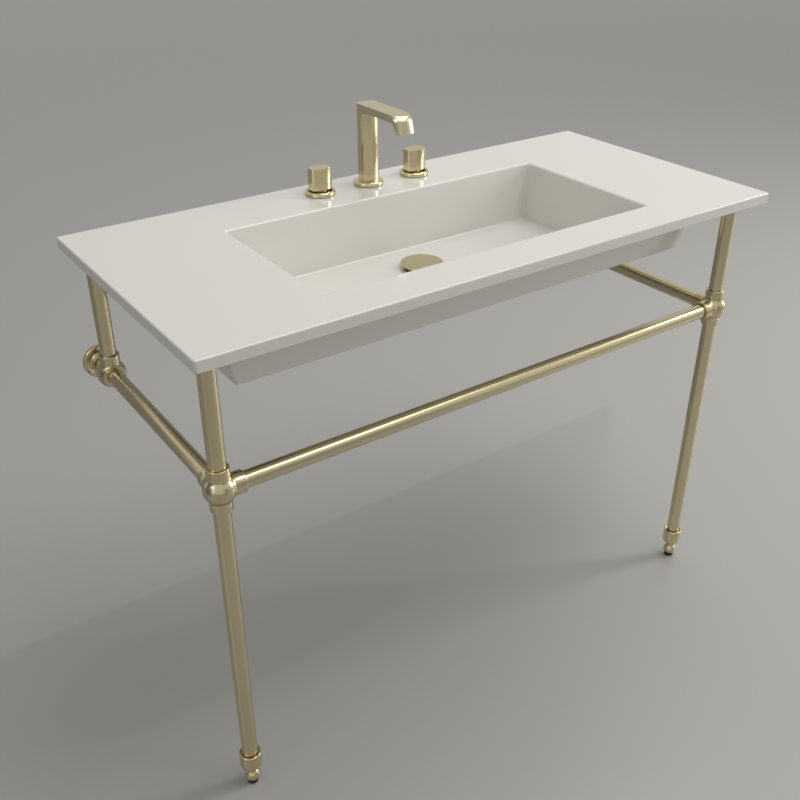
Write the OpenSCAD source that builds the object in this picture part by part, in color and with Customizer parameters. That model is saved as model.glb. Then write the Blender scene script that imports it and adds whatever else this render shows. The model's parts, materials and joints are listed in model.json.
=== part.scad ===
// Bathroom console sink: a fireclay basin with a wide flat deck and one long rectangular
// bowl, a widespread faucet with two knobs, a push drain, and a tubular brass stand with
// two front legs on levelling feet and two flanges on the wall.
// Millimetres. X runs along the wall, Y points to the wall, Z is up from the floor.
// The origin is on the floor below the centre of the deck.

/* [Deck] */
// Width of the deck along the wall
deck_w = 1100; // [1060:10:1300]
// Depth of the deck from its front edge to the wall
deck_d = 510; // [490:5:580]
// Thickness of the deck slab
deck_t = 19; // [16:1:26]
// Height of the deck's top above the floor
deck_top = 830; // [790:5:900]
// Radius of the deck's four corners
deck_corner_r = 4; // [2:1:10]

/* [Bowl] */
// Width of the bowl at its rim
bowl_w = 642; // [560:2:700]
// Deck left in front of the bowl
bowl_front = 78; // [72:1:110]
// Deck left behind the bowl, which carries the faucet
bowl_back = 130; // [124:1:150]
// Depth from the deck's top to the far corners of the bowl's floor
bowl_depth = 101; // [90:1:108]
// How far each side wall leans in over the bowl's depth
bowl_side_draft = 11; // [5:1:20]
// How far the back wall leans in over the bowl's depth
bowl_back_draft = 8; // [4:1:16]
// How far the front wall leans in over the bowl's depth
bowl_front_draft = 48; // [44:1:60]
// Thickness of the bowl's walls
bowl_wall = 10; // [8:1:14]
// Thickness of the bowl's floor at the drain
bowl_floor_t = 8; // [6:0.5:12]
// Fall of the floor from its far corners to the drain
floor_fall = 5; // [3:0.5:6]

/* [Apron] */
// Height of the apron below the deck
apron_h = 95; // [80:1:105]
// Distance of the apron's bottom edge from each side of the deck
apron_side = 99; // [96:1:120]
// Distance of the apron's bottom edge from the deck's front edge
apron_front = 105; // [100:1:110]
// Outward lean of the side aprons per millimetre of height
apron_side_lean = 0.236; // [0.1:0.01:0.25]
// Outward lean of the front apron per millimetre of height
apron_front_lean = 0.203; // [0.15:0.01:0.25]
// Height of the straight part of the apron, below its cove
apron_straight = 36; // [25:1:50]
// How far the cove flares out where it meets the deck
apron_cove = 17; // [12:1:18]
// Thickness of the apron
apron_wall = 12; // [8:1:15]
// Thickness of the ribs under the deck
rib_t = 12; // [8:1:16]
// Place of the side ribs in front of the deck's middle
rib_y = 15; // [0:1:30]

/* [Basin wall bolts] */
// Distance between the two bolt holes in the back apron
hanger_pitch = 280; // [240:5:320]
// Diameter of the bolt holes
hanger_d = 14; // [10:1:18]
// Distance of the bolt holes below the deck's top
hanger_drop = 60; // [50:1:70]

/* [Faucet holes] */
// Distance from the spout's centre to each knob's centre
tap_pitch = 101.6; // [95:0.1:110]
// Distance of the faucet's centre line from the wall
tap_back = 60; // [56:1:66]
// Diameter of the three faucet holes in the deck
tap_hole_d = 35; // [32:1:38]

/* [Spout] */
// Height of the spout's top above the deck
spout_h = 144; // [120:1:170]
// Half of the spout's width between its flat sides
spout_half = 18; // [17:0.5:20]
// Half of the spout column's depth at the middle of its bulging front and back
spout_deep = 14.2; // [13:0.2:15]
// Half of the depth of the spout column's flat sides
spout_side = 8.5; // [7:0.5:10]
// Reach of the lip in front of the column's centre
spout_reach = 123; // [110:1:140]
// Thickness of the arm
arm_t = 12.3; // [11:0.1:14]
// Radius of the bend above the lip
bend_r = 16; // [12:1:20]
// Angle of the bend
bend_angle = 72; // [66:1:76]
// Height of the lip's end below the spout's top
lip_drop = 28.5; // [26:0.5:32]
// Thickness of the lip's end at its sides
lip_t = 2.8; // [2:0.2:4]
// Depth of the arch between the column and the arm, from the column's sides
arch_d = 15; // [11:1:17]
// Height of the arch between the column and the arm
arch_h = 16; // [12:1:18]
// Width of the water channel in the arm
channel_w = 18; // [12:1:20]
// Height of the water channel in the arm
channel_h = 5.5; // [4:0.5:6]
// Diameter of the aerator
aerator_d = 16; // [14:0.5:18]
// Depth of the aerator in the arm
aerator_h = 6.5; // [5:0.5:7]

/* [Knobs and rings] */
// Half of a knob's width between its flat sides
knob_half = 19.7; // [18.5:0.1:21]
// Half of a knob's depth at the middle of its bulging front and back
knob_deep = 14.4; // [14:0.2:16]
// Half of the depth of a knob's flat sides
knob_side = 8; // [6.5:0.5:9.5]
// Height of a knob
knob_h = 39; // [30:1:42]
// Gap between a knob and the ring below it
knob_gap = 1; // [0.5:0.5:4]
// Diameter of the rings on the deck
ring_d = 54; // [50:1:60]
// Height of the rings
ring_h = 7; // [6:0.5:9]
// Thickness of the soft gaskets below the rings
gasket_t = 1; // [0.8:0.1:1.5]
// Angle that a knob turns from closed to open
knob_turn = 90; // [60:5:90]

/* [Valves] */
// Radius of the threaded shanks that pass through the deck
shank_r = 14; // [13:0.5:15]
// Length of the shanks below the deck
shank_drop = 39; // [34:1:45]
// Radius of the valve bodies below their shanks
valve_r = 17; // [16:0.5:19]
// Height of the valve bodies below their shanks
valve_h = 34; // [30:1:38]
// Radius of the threaded water inlets
inlet_r = 10.475; // [10.4:0.005:10.5]
// Length of the threaded water inlets
inlet_h = 30; // [24:1:36]
// Radius of the valve cartridges
cartridge_r = 11; // [10:0.5:11.5]
// Radius of the valve stems
stem_r = 4; // [3.5:0.1:4.5]
// Radius of the waterways
water_r = 6; // [5:0.5:6.5]
// Radius of the feed tubes between the valves and the spout
feed_r = 5; // [4:0.5:6]
// Width across the flats of the locknuts
locknut_w = 42; // [40:1:44]
// Height of the locknuts
locknut_h = 8; // [6:1:10]
// Outer diameter of the washers below the deck
washer_d = 46; // [42:1:48]
// Thickness of the rubber washers
rubber_washer_t = 3; // [2:0.5:4]
// Thickness of the steel washers
steel_washer_t = 1.5; // [1:0.5:2]
// Width across the flats of the feed tubes' nuts
feed_nut_w = 20; // [18:1:22]
// Length of the feed tubes' nuts
feed_nut_h = 10; // [8:1:12]

/* [Drain] */
// Place of the drain behind the deck's middle
drain_y = 30; // [10:1:40]
// Diameter of the drain's cap
cap_d = 75; // [68:1:78]
// Thickness of the drain's cap
cap_t = 4.5; // [4:0.5:6]
// Height of the open cap's underside above the floor of the bowl
cap_lift = 6.5; // [5.5:0.5:8]
// Diameter of the drain flange's lip
flange_lip_d = 66; // [62:1:66]
// Thickness of the drain flange's lip
flange_lip_t = 2.5; // [2:0.5:3]
// Outer diameter of the drain's sleeve
sleeve_d = 42; // [40:1:44]
// Inner diameter of the drain's sleeve
sleeve_bore = 36; // [34.5:0.5:37]
// Length of the drain's sleeve below the lip
sleeve_h = 42; // [38:1:48]
// Outer diameter of the outlet pipe
outlet_d = 31.75; // [31.7:0.05:31.8]
// Length of the outlet pipe below the sleeve
outlet_h = 50; // [40:1:55]
// Radius of the push stem below the cap
push_r = 4; // [3.5:0.1:4.5]
// Radius of the push cartridge
push_case_r = 7; // [6.5:0.5:8]
// Radius of the push spring's wire
spring_wire_r = 0.5; // [0.4:0.1:0.6]
// Number of turns of the push spring
spring_turns = 5; // [4:1:6]

/* [Stand] */
// Distance of the posts' centres from the sides of the deck
post_side = 35; // [30:1:38]
// Distance of the front posts' centres from the deck's front edge
post_front = 50; // [40:1:56]
// Distance of the rear posts' centres from the wall
post_rear = 55; // [50:1:60]
// Height of the rails' centre line below the deck's top
rail_drop = 230; // [200:5:280]
// Outer diameter of the tubes
tube_d = 26; // [24:0.5:28]
// Wall of the tubes
tube_wall = 1.5; // [1.2:0.1:2.5]
// Radius of the ball in the middle of a fitting
ball_r = 24; // [22:0.5:25]
// Wall of the fittings' sockets around the tubes
socket_wall = 3.5; // [2.5:0.1:3.8]
// Radius of the fillet between a socket and the ball
ball_fillet = 8; // [5:1:10]
// Reach of the upper sockets above the rails' centre line
socket_up = 36; // [34:1:40]
// Reach of the lower sockets below the rails' centre line
socket_down = 34; // [30:1:36]
// Reach of the rail sockets from the post's centre line
socket_rail = 36; // [34:1:40]
// Reach of the rear fittings' front collars from the post's centre line
collar_reach = 17.5; // [17:0.5:20]
// Radius of the rear fittings' front collars
collar_r = 19.5; // [18.5:0.5:20]
// Reach of the wall sockets from the post's centre line
socket_wall_reach = 29; // [27:0.5:31]
// Outer diameter of the collars below the deck
collar_d = 31; // [30.8:0.2:34]
// Height of the collars below the deck
collar_h = 8; // [6:1:12]
// Thickness of the rubber buffers on the posts
buffer_t = 3; // [2:0.5:4]
// Distance of the upper posts' ends from the rails' centre line
up_seat = 14; // [13.5:0.5:16]
// Distance of the legs' ends from the rails' centre line
down_seat = 8; // [7:0.5:10]
// Distance of the rails' ends from the front posts' centre lines
rail_seat = 18; // [17:0.5:20]
// Distance of the side rails' ends from the rear posts' centre lines
rear_seat = 4; // [3:0.5:6]
// Distance of the wall stubs' ends from the rear posts' centre lines
wall_seat = 14; // [13:0.5:15]
// Distance of the set screws from the sockets' mouths
screw_in = 7; // [6:0.5:8]
// Depth of the set screws below the sockets' skin
screw_sink = 0.2; // [0.1:0.1:0.4]
// Diameter of the set screws
set_screw_d = 5; // [4:0.5:6]

/* [Wall flanges] */
// Diameter of the wall flanges
flange_d = 60; // [58:1:70]
// Thickness of the wall flanges
flange_t = 6; // [4:1:8]
// Length of the flanges' necks
flange_neck = 10; // [8:1:12]
// Diameter of the circle of screw holes
flange_pcd = 46; // [44:1:50]
// Diameter of the screw holes
flange_hole_d = 6.5; // [5:0.5:6.5]
// Number of screw holes in each flange
flange_holes = 3; // [3:1:4]

/* [Feet] */
// Outer diameter of the foot sockets
foot_socket_d = 36; // [34:1:40]
// Height of the foot sockets
foot_socket_h = 36; // [34:0.5:42]
// Height of the foot sockets' round shoulder
foot_shoulder = 14; // [12:1:16]
// Radius of the ball feet
foot_ball_r = 12.75; // [12:0.25:14]
// Height of the ball feet's centre above the floor
foot_ball_z = 16.5; // [15:0.5:18]
// Radius of the ball feet's necks
foot_neck_r = 8.6; // [8:0.1:9.4]
// Radius of the ball feet's threaded studs
stud_r = 5; // [4:0.5:6]
// Length of the studs in the foot sockets
stud_h = 14; // [12:1:17]
// Thickness of the rubber pads below the feet
pad_t = 5; // [4.5:0.5:6.5]
// Radius of the rubber pads
pad_r = 9; // [8:0.5:10]

/* [Clearances] */
// Gap around a tube in its socket
tube_fit = 0.1; // [0.05:0.05:0.2]
// Gap around a stem or stud that moves in its bore
running_fit = 0.05; // [0.03:0.01:0.08]
// Gap between a moving piece and what it rests above
rest_gap = 0.3; // [0.2:0.1:0.4]
// Gap around a part that is screwed or set into another
seat_gap = 0.1; // [0.05:0.05:0.2]

/* [Hidden] */
$fn = 48;

WHITE = [0.93, 0.93, 0.91];
GOLD = [0.74, 0.65, 0.46];
BRASS = [0.62, 0.52, 0.3];
STEEL = [0.72, 0.73, 0.74];
RUBBER = [0.08, 0.08, 0.09];

wall_y = deck_d / 2;
front_y = -deck_d / 2;
deck_under = deck_top - deck_t;
over = 1;

bowl_front_y = front_y + bowl_front;
bowl_back_y = wall_y - bowl_back;
floor_z = deck_top - bowl_depth;
drain_z = floor_z - floor_fall;
dish_r = norm([bowl_w / 2, bowl_front_y - drain_y]) + bowl_wall;
bowl_under = drain_z - bowl_floor_t;
apron_z = deck_under - apron_h;
apron_half = deck_w / 2 - apron_side;
apron_fy = -front_y - apron_front;
lean_steps = 8;

tap_y = wall_y - tap_back;
ring_z = deck_top + gasket_t;
ring_top = ring_z + ring_h;
knob_z = ring_top + knob_gap;
knob_top = knob_z + knob_h;
shank_z = deck_under - shank_drop;
valve_z = shank_z - valve_h;
inlet_z = valve_z - inlet_h;
shank_sink = 1;
shank_top = ring_top - shank_sink;
water_z = shank_z - valve_h / 2;
cartridge_drop = 20;
cartridge_z = deck_under - cartridge_drop;
bonnet_h = 7;
bonnet_top = knob_z + bonnet_h;
bonnet_gap = 1.4;
stem_seat = 8;
stem_z = cartridge_z + stem_seat;
knob_roof = 8;
stem_top = knob_top - knob_roof;
knob_screw_r = 2;
knob_screw_h = 8;
knob_screw_sink = 1;
knob_screw_hex = 3;
feed_wall = 1;
boss_wall = 4;
boss_r = feed_r + boss_wall;
boss_h = 10;
valve_boss = valve_r + boss_h;
tee_boss = shank_r + boss_h;
tee_floor = 4;
gasket_inset = 3;
washer_z = deck_under - rubber_washer_t;
locknut_z = washer_z - steel_washer_t - locknut_h;
spout_z = ring_top;
spout_top = deck_top + spout_h;
spout_neck_r = 9;
spout_neck_h = 22;
spout_neck_top = spout_z + spout_neck_h;
aerator_back = 31;
aerator_y = spout_reach - aerator_back;
lip_step = 10;
bend_steps = 4;
bend_y = spout_reach - bend_r * sin(bend_angle)
    - (lip_drop - bend_r * (1 - cos(bend_angle))) / tan(bend_angle);

drain_flat = 2;
drain_hole_gap = 1;
cap_z = drain_z + cap_lift;
seat_z = drain_z - flange_lip_t;
sleeve_z = seat_z - sleeve_h;
spider_drop = 8;
spider_z = seat_z - spider_drop;
spider_h = 6;
spider_arm = 3;
spider_hub = 2;
seal_t = 1.6;
seal_show = 0.8;
seal_w = 7;
seal_edge = 2;
seal_out = flange_lip_d / 2 - seal_edge;
seal_in = seal_out - seal_w;
push_seat = 2;
push_case_top = spider_z + spider_h;
push_case_h = 30;
push_case_floor = 2;
push_in = 14;
push_end = push_case_top - push_in;
spring_gap = 0.2;
spring_z = push_case_top - push_case_h + push_case_floor;
drain_gasket_t = 5;
drain_gasket_w = 9;
drain_nut_h = 12;
drain_nut_rim = 3;
drain_nut_flat = 6;
outlet_wall = 1.5;
outlet_collar = 3;
outlet_plug = 8;
drain_nut_z = bowl_under - drain_gasket_t - drain_nut_h;
outlet_z = sleeve_z - outlet_h;

post_x = deck_w / 2 - post_side;
post_fy = front_y + post_front;
post_ry = wall_y - post_rear;
rail_z = deck_top - rail_drop;
tube_r = tube_d / 2;
bore_r = tube_r + tube_fit;
socket_r = tube_r + socket_wall;

foot_neck_h = 4.5;
foot_socket_z = foot_ball_z + foot_ball_r + foot_neck_h;
leg_seat = 4;
leg_z = foot_socket_z + foot_shoulder + leg_seat;
foot_counterbore = 4;
foot_mouth_gap = 2;
foot_mouth_edge = 1;
foot_bottom_edge = 1;
pad_plug = 3.5;
flange_back = 2;

// Points of an arc around a centre, from one angle to another
function arc(c, r, a0, a1, n = 8) =
    [for (k = [0:n]) [c[0] + r * cos(a0 + (a1 - a0) * k / n), c[1] + r * sin(a0 + (a1 - a0) * k / n)]];

// Half-width of the apron, from below its bottom edge up to the deck
function apron_edge(base, lean, inset, below) = concat(
    [[base - inset, -below]],
    [for (k = [0:lean_steps]) let (h = apron_straight + (apron_h - apron_straight) * k / lean_steps)
        [base - inset + lean * h + apron_cove * pow(k / lean_steps, 2), h]]
);

// Inner faces of the bowl's walls at a height
function bowl_half(z) = bowl_w / 2 - bowl_side_draft * (deck_top - z) / bowl_depth;
function bowl_rear(z) = bowl_back_y - bowl_back_draft * (deck_top - z) / bowl_depth;
function bowl_fore(z) = bowl_front_y + bowl_front_draft * (deck_top - z) / bowl_depth;

function flip(points) = [for (k = [len(points) - 1:-1:0]) [-points[k][0], points[k][1]]];

// Prism along X from an outline in Y and Z
module along_x(length) {
    rotate([90, 0, 90]) linear_extrude(height = length, center = true) children();
}

// Prism along Y from an outline in X and Z
module along_y(length) {
    rotate([90, 0, 0]) linear_extrude(height = length, center = true) children();
}

module ring(outer_r, inner_r, h) {
    difference() {
        cylinder(r = outer_r, h = h);
        translate([0, 0, -over]) cylinder(r = inner_r, h = h + 2 * over);
    }
}

// Hexagon prism, w across its flats
module hexagon(w, h) {
    cylinder(d = w / cos(30), h = h, $fn = 6);
}

// Rectangle with round corners
module round_rect(w, d, r) {
    square([w - 2 * r, d], center = true);
    square([w, d - 2 * r], center = true);
    for (x = [-1, 1], y = [-1, 1]) translate([x * (w / 2 - r), y * (d / 2 - r)]) circle(r = r);
}

// Basin

// Body of the apron, drawn in by inset on its front, sides and back, and run on below its bottom
module apron_block(inset, below) {
    side = apron_edge(apron_half, apron_side_lean, inset, below);
    front = apron_edge(apron_fy, apron_front_lean, inset, below);
    back = wall_y - inset;
    translate([0, 0, apron_z]) intersection() {
        along_y(2 * deck_d) polygon(concat(side, flip(side)));
        along_x(2 * deck_w) polygon(concat([[back, -below], [back, apron_h]], flip(front)));
    }
}

// Block that follows the bowl's walls at a distance, from z to above the deck's top
module bowl_block(wall, z, front_wall) {
    top_z = deck_top + over;
    intersection() {
        along_y(2 * deck_d) polygon([
            [bowl_half(z) + wall, z], [bowl_half(top_z) + wall, top_z],
            [-bowl_half(top_z) - wall, top_z], [-bowl_half(z) - wall, z]
        ]);
        along_x(2 * deck_w) polygon([
            [bowl_rear(z) + wall, z], [bowl_rear(top_z) + wall, top_z],
            [bowl_fore(top_z) - front_wall, top_z], [bowl_fore(z) - front_wall, z]
        ]);
    }
}

// Room under the deck beside and behind the bowl, between the ribs
module underside_bays() {
    difference() {
        apron_block(apron_wall, over);
        bowl_block(bowl_wall, apron_z - 2 * over, deck_d);
        translate([-deck_w / 2, -rib_y - rib_t / 2, apron_z - 2 * over])
            cube([deck_w, rib_t, apron_h + 3 * over]);
        for (s = [-1, 1]) translate([s * bowl_w / 2 - rib_t / 2, bowl_back_y, apron_z - 2 * over])
            cube([rib_t, bowl_back, apron_h + 3 * over]);
    }
}

// Room in the bowl, with a floor that falls to the drain like a shallow cone
module bowl_hollow() {
    top_z = deck_top + over;
    flat_r = flange_lip_d / 2 + drain_flat;
    intersection() {
        bowl_block(0, drain_z - over, 0);
        translate([0, drain_y, 0]) rotate_extrude() polygon([
            [0, drain_z], [flat_r, drain_z], [dish_r, floor_z], [dish_r, top_z], [0, top_z]
        ]);
    }
    translate([0, drain_y, seat_z]) cylinder(d = flange_lip_d + 2 * seat_gap, h = flange_lip_t + over);
}

module basin() {
    color(WHITE) difference() {
        union() {
            translate([0, 0, deck_under]) linear_extrude(height = deck_t)
                round_rect(deck_w, deck_d, deck_corner_r);
            difference() {
                apron_block(0, 0);
                underside_bays();
            }
            intersection() {
                bowl_block(bowl_wall, bowl_under, bowl_wall);
                translate([-deck_w / 2, front_y, 0]) cube([deck_w, deck_d, deck_top]);
            }
        }
        bowl_hollow();
        translate([0, drain_y, bowl_under - over])
            cylinder(r = sleeve_d / 2 + drain_hole_gap, h = bowl_floor_t + 2 * over);
        for (x = [-tap_pitch, 0, tap_pitch]) translate([x, tap_y, deck_under - over])
            cylinder(d = tap_hole_d, h = deck_t + 2 * over);
        for (s = [-1, 1]) translate([s * hanger_pitch / 2, wall_y + over, deck_top - hanger_drop])
            rotate([90, 0, 0]) cylinder(d = hanger_d, h = apron_wall + 2 * over);
    }
}

// Spout

// Radius of a front that bulges from the ends of the flat sides to the full depth
function bulge_r(half_w, deep, side) = (pow(half_w, 2) + pow(deep - side, 2)) / (2 * (deep - side));

// Section of the column and the knobs: flat sides, with a front and back that bulge
module bulged_section(half_w, deep, side) {
    r = bulge_r(half_w, deep, side);
    intersection() {
        square([2 * half_w, 3 * deep], center = true);
        translate([0, r - deep]) circle(r = r);
        translate([0, deep - r]) circle(r = r);
    }
}

// Outline of the arm from the side, with the arch below it and a square front that is cut later
module arm_profile() {
    under = -arm_t;
    front = -spout_reach - over;
    inner = lip_t - spout_reach + spout_deep - spout_side;
    polygon(concat(
        [[spout_deep, under - arch_h], [spout_deep, 0], [front, 0], [front, -lip_drop],
         [inner, -lip_drop], [inner + (lip_drop - arm_t) / tan(bend_angle - lip_step), under]],
        [for (p = arc([-1, -1], 1, 90, 0)) [arch_d * p[0] - spout_side, arch_h * p[1] + under]]
    ));
}

// Outline of the whole spout from above, with a square front that is cut later
module spout_plan() {
    front = spout_reach + over;
    bulged_section(spout_half, spout_deep, spout_side);
    translate([-spout_half, -front]) square([2 * spout_half, front]);
}

// What lies in front of the bulging lip where the bend has turned down by an angle
module lip_cut(angle) {
    r = bulge_r(spout_half, spout_deep, spout_side) / sin(angle);
    half = spout_half + over;
    translate([0, (r - bend_r) * sin(angle) - bend_y, bend_r * (cos(angle) - 1) - r * cos(angle)])
        rotate([angle - 90, 0, 0]) difference() {
            translate([-half, -r - spout_reach, -spout_reach])
                cube([2 * half, r + spout_reach, 2 * spout_reach]);
            cylinder(r = r, h = 3 * spout_reach, center = true);
        }
}

module spout_body() {
    channel_z = spout_top - (arm_t + channel_h) / 2;
    color(GOLD) translate([0, tap_y, 0]) difference() {
        union() {
            translate([0, 0, spout_z]) linear_extrude(height = spout_h - spout_z + deck_top - arm_t)
                bulged_section(spout_half, spout_deep, spout_side);
            difference() {
                intersection() {
                    translate([0, 0, spout_top]) along_x(3 * spout_half) arm_profile();
                    linear_extrude(height = spout_top + over) spout_plan();
                }
                translate([0, 0, spout_top])
                    for (k = [1:bend_steps]) lip_cut(bend_angle * k / bend_steps);
            }
        }
        translate([0, 0, spout_z - over])
            cylinder(r = spout_neck_r + seat_gap, h = spout_neck_top - spout_z + over);
        translate([0, 0, spout_z]) cylinder(r = water_r, h = channel_z + channel_h - spout_z);
        translate([-channel_w / 2, -aerator_y, channel_z]) cube([channel_w, aerator_y, channel_h]);
        translate([0, -aerator_y, spout_top - arm_t - over])
            cylinder(d = aerator_d + 2 * seat_gap, h = aerator_h + over);
    }
}

module spout_shank() {
    color(BRASS) translate([0, tap_y, 0]) difference() {
        union() {
            translate([0, 0, shank_z]) cylinder(r = shank_r, h = shank_top - shank_z);
            translate([0, 0, shank_z])
                cylinder(r = spout_neck_r, h = spout_neck_top - rest_gap - shank_z);
        }
        translate([0, 0, shank_z - over]) cylinder(r = water_r, h = spout_top);
    }
}

module spout_tee() {
    color(BRASS) translate([0, tap_y, 0]) difference() {
        union() {
            translate([0, 0, valve_z]) cylinder(r = shank_r, h = valve_h);
            translate([-tee_boss, 0, water_z]) rotate([0, 90, 0]) cylinder(r = boss_r, h = 2 * tee_boss);
        }
        translate([0, 0, valve_z + tee_floor]) cylinder(r = water_r, h = valve_h);
        translate([-tee_boss, 0, water_z]) rotate([0, 90, 0])
            cylinder(r = feed_r - feed_wall, h = 2 * tee_boss);
        for (s = [0, 180]) rotate([0, 0, s]) translate([shank_r, 0, water_z])
            rotate([0, 90, 0]) cylinder(r = feed_r + seat_gap, h = tee_boss);
    }
}

// Aerator: a short tube with a grid of bars across it
module aerator() {
    rim = 1.5;
    bar_t = 1;
    pitch = aerator_d / 4;
    color(STEEL) translate([0, tap_y - aerator_y, spout_top - arm_t - seat_gap]) {
        ring(aerator_d / 2, aerator_d / 2 - rim, aerator_h - seat_gap);
        translate([0, 0, aerator_h / 2]) intersection() {
            cylinder(d = aerator_d - rim, h = bar_t);
            for (turn = [0, 90], k = [-1:1]) rotate([0, 0, turn])
                translate([k * pitch - bar_t / 2, -aerator_d / 2, 0]) cube([bar_t, aerator_d, bar_t]);
        }
    }
}

// Pieces that the spout and both valves share

module at_taps() {
    for (x = [-tap_pitch, 0, tap_pitch]) translate([x, tap_y, 0]) children();
}

// Ring on the deck, with a rounded outer edge
module deck_rings() {
    edge = ring_h / 2;
    bore = shank_r + seat_gap;
    color(GOLD) at_taps() translate([0, 0, ring_z]) rotate_extrude() polygon(concat(
        [[bore, 0], [ring_d / 2 - edge / 2, 0]],
        arc([ring_d / 2 - edge, edge], edge, -60, 90),
        [[bore, ring_h]]
    ));
}

module deck_gaskets() {
    color(RUBBER) at_taps() translate([0, 0, deck_top])
        ring(ring_d / 2 - gasket_inset, shank_r + seat_gap, gasket_t);
}

module rubber_washers() {
    color(RUBBER) at_taps() translate([0, 0, washer_z])
        ring(washer_d / 2, shank_r + seat_gap, rubber_washer_t);
}

module steel_washers() {
    color(STEEL) at_taps() translate([0, 0, washer_z - steel_washer_t])
        ring(washer_d / 2, shank_r + seat_gap, steel_washer_t);
}

module locknuts() {
    color(BRASS) at_taps() translate([0, 0, locknut_z]) difference() {
        hexagon(locknut_w, locknut_h);
        translate([0, 0, -over]) cylinder(r = shank_r + seat_gap, h = locknut_h + 2 * over);
    }
}

// Hot and cold valves; side is -1 for hot, on the left, and 1 for cold

module at_valve(side) {
    translate([side * tap_pitch, tap_y, 0]) children();
}

module knob(side) {
    color(GOLD) at_valve(side) difference() {
        translate([0, 0, knob_z]) linear_extrude(height = knob_h)
            bulged_section(knob_half, knob_deep, knob_side);
        translate([0, 0, knob_z - over])
            cylinder(r = cartridge_r + bonnet_gap, h = bonnet_top + bonnet_gap - knob_z + over);
        translate([0, 0, knob_z]) cylinder(r = stem_r + running_fit, h = stem_top + rest_gap - knob_z);
        translate([0, 0, bonnet_top + knob_screw_h]) rotate([-90, 0, 0])
            cylinder(r = knob_screw_r + seat_gap, h = knob_deep + over);
    }
}

// Valve stem, which turns with its knob
module valve_stem(side) {
    color(BRASS) at_valve(side) translate([0, 0, stem_z]) cylinder(r = stem_r, h = stem_top - stem_z);
}

// Set screw in the back of a knob
module knob_screw(side) {
    start = stem_r + running_fit;
    length = knob_deep - start - knob_screw_sink;
    color(STEEL) at_valve(side) translate([0, start, bonnet_top + knob_screw_h])
        rotate([-90, 0, 0]) difference() {
            cylinder(r = knob_screw_r, h = length);
            translate([0, 0, length - knob_screw_hex + over]) hexagon(knob_screw_r, knob_screw_hex);
        }
}

module cartridge(side) {
    color(BRASS) at_valve(side) difference() {
        translate([0, 0, cartridge_z]) cylinder(r = cartridge_r, h = bonnet_top - cartridge_z);
        translate([0, 0, stem_z - rest_gap]) cylinder(r = stem_r + running_fit, h = stem_top - stem_z);
    }
}

module valve_body(side) {
    color(BRASS) at_valve(side) difference() {
        union() {
            translate([0, 0, shank_z]) cylinder(r = shank_r, h = shank_top - shank_z);
            translate([0, 0, valve_z]) cylinder(r = valve_r, h = valve_h);
            translate([0, 0, inlet_z]) cylinder(r = inlet_r, h = inlet_h + over);
            rotate([0, 0, side > 0 ? 180 : 0]) translate([0, 0, water_z])
                rotate([0, 90, 0]) cylinder(r = boss_r, h = valve_boss);
        }
        translate([0, 0, inlet_z - over]) cylinder(r = water_r, h = cartridge_z - inlet_z + 2 * over);
        translate([0, 0, cartridge_z]) cylinder(r = cartridge_r + seat_gap, h = shank_top);
        rotate([0, 0, side > 0 ? 180 : 0]) translate([0, 0, water_z]) {
            rotate([0, 90, 0]) cylinder(r = feed_r - feed_wall, h = valve_boss);
            translate([valve_r, 0, 0]) rotate([0, 90, 0])
                cylinder(r = feed_r + seat_gap, h = valve_boss);
        }
    }
}

module feed_tube(side) {
    start = shank_r + rest_gap;
    length = tap_pitch - valve_r - shank_r - 2 * rest_gap;
    color(BRASS) translate([0, tap_y, water_z]) rotate([0, 0, side > 0 ? 0 : 180])
        translate([start, 0, 0]) rotate([0, 90, 0]) ring(feed_r, feed_r - feed_wall, length);
}

module feed_tube_nuts() {
    color(BRASS) for (s = [0, 180], x = [tee_boss, tap_pitch - valve_boss - feed_nut_h])
        translate([0, tap_y, water_z]) rotate([0, 0, s]) translate([x, 0, 0]) rotate([0, 90, 0])
            difference() {
                hexagon(feed_nut_w, feed_nut_h);
                translate([0, 0, -over]) cylinder(r = feed_r + seat_gap, h = feed_nut_h + 2 * over);
            }
}

// Drain

module at_drain(z) {
    translate([0, drain_y, z]) children();
}

// Cap with a slightly domed top, and a groove below for its seal
module drain_cap() {
    edge = 1.5;
    fall = 1;
    color(GOLD) at_drain(cap_z) difference() {
        rotate_extrude() polygon(concat(
            [[0, 0]],
            arc([cap_d / 2 - edge, edge], edge, -90, 60, 5),
            [[cap_d / 2 - 2 * edge, cap_t - fall], [cap_d / 4, cap_t - fall / 4], [0, cap_t]]
        ));
        translate([0, 0, -over])
            ring(seal_out + seat_gap, seal_in - seat_gap, over + seal_t - seal_show);
        translate([0, 0, -over]) cylinder(r = push_r + seat_gap, h = push_seat + over);
    }
}

module drain_cap_seal() {
    color(RUBBER) at_drain(cap_z - seal_show) ring(seal_out, seal_in, seal_t);
}

// Stem that carries the cap, with a foot that pushes on the spring
module push_stem() {
    color(STEEL) at_drain(0) translate([0, 0, push_end])
        cylinder(r = push_r, h = cap_z + push_seat - push_end);
}

// Case of the push mechanism, held in the flange's spider
module push_cartridge() {
    case_z = push_case_top - push_case_h;
    color(STEEL) at_drain(case_z) difference() {
        cylinder(r = push_case_r, h = push_case_h);
        translate([0, 0, push_case_floor]) cylinder(r = push_r + running_fit, h = push_case_h);
    }
}

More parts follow.
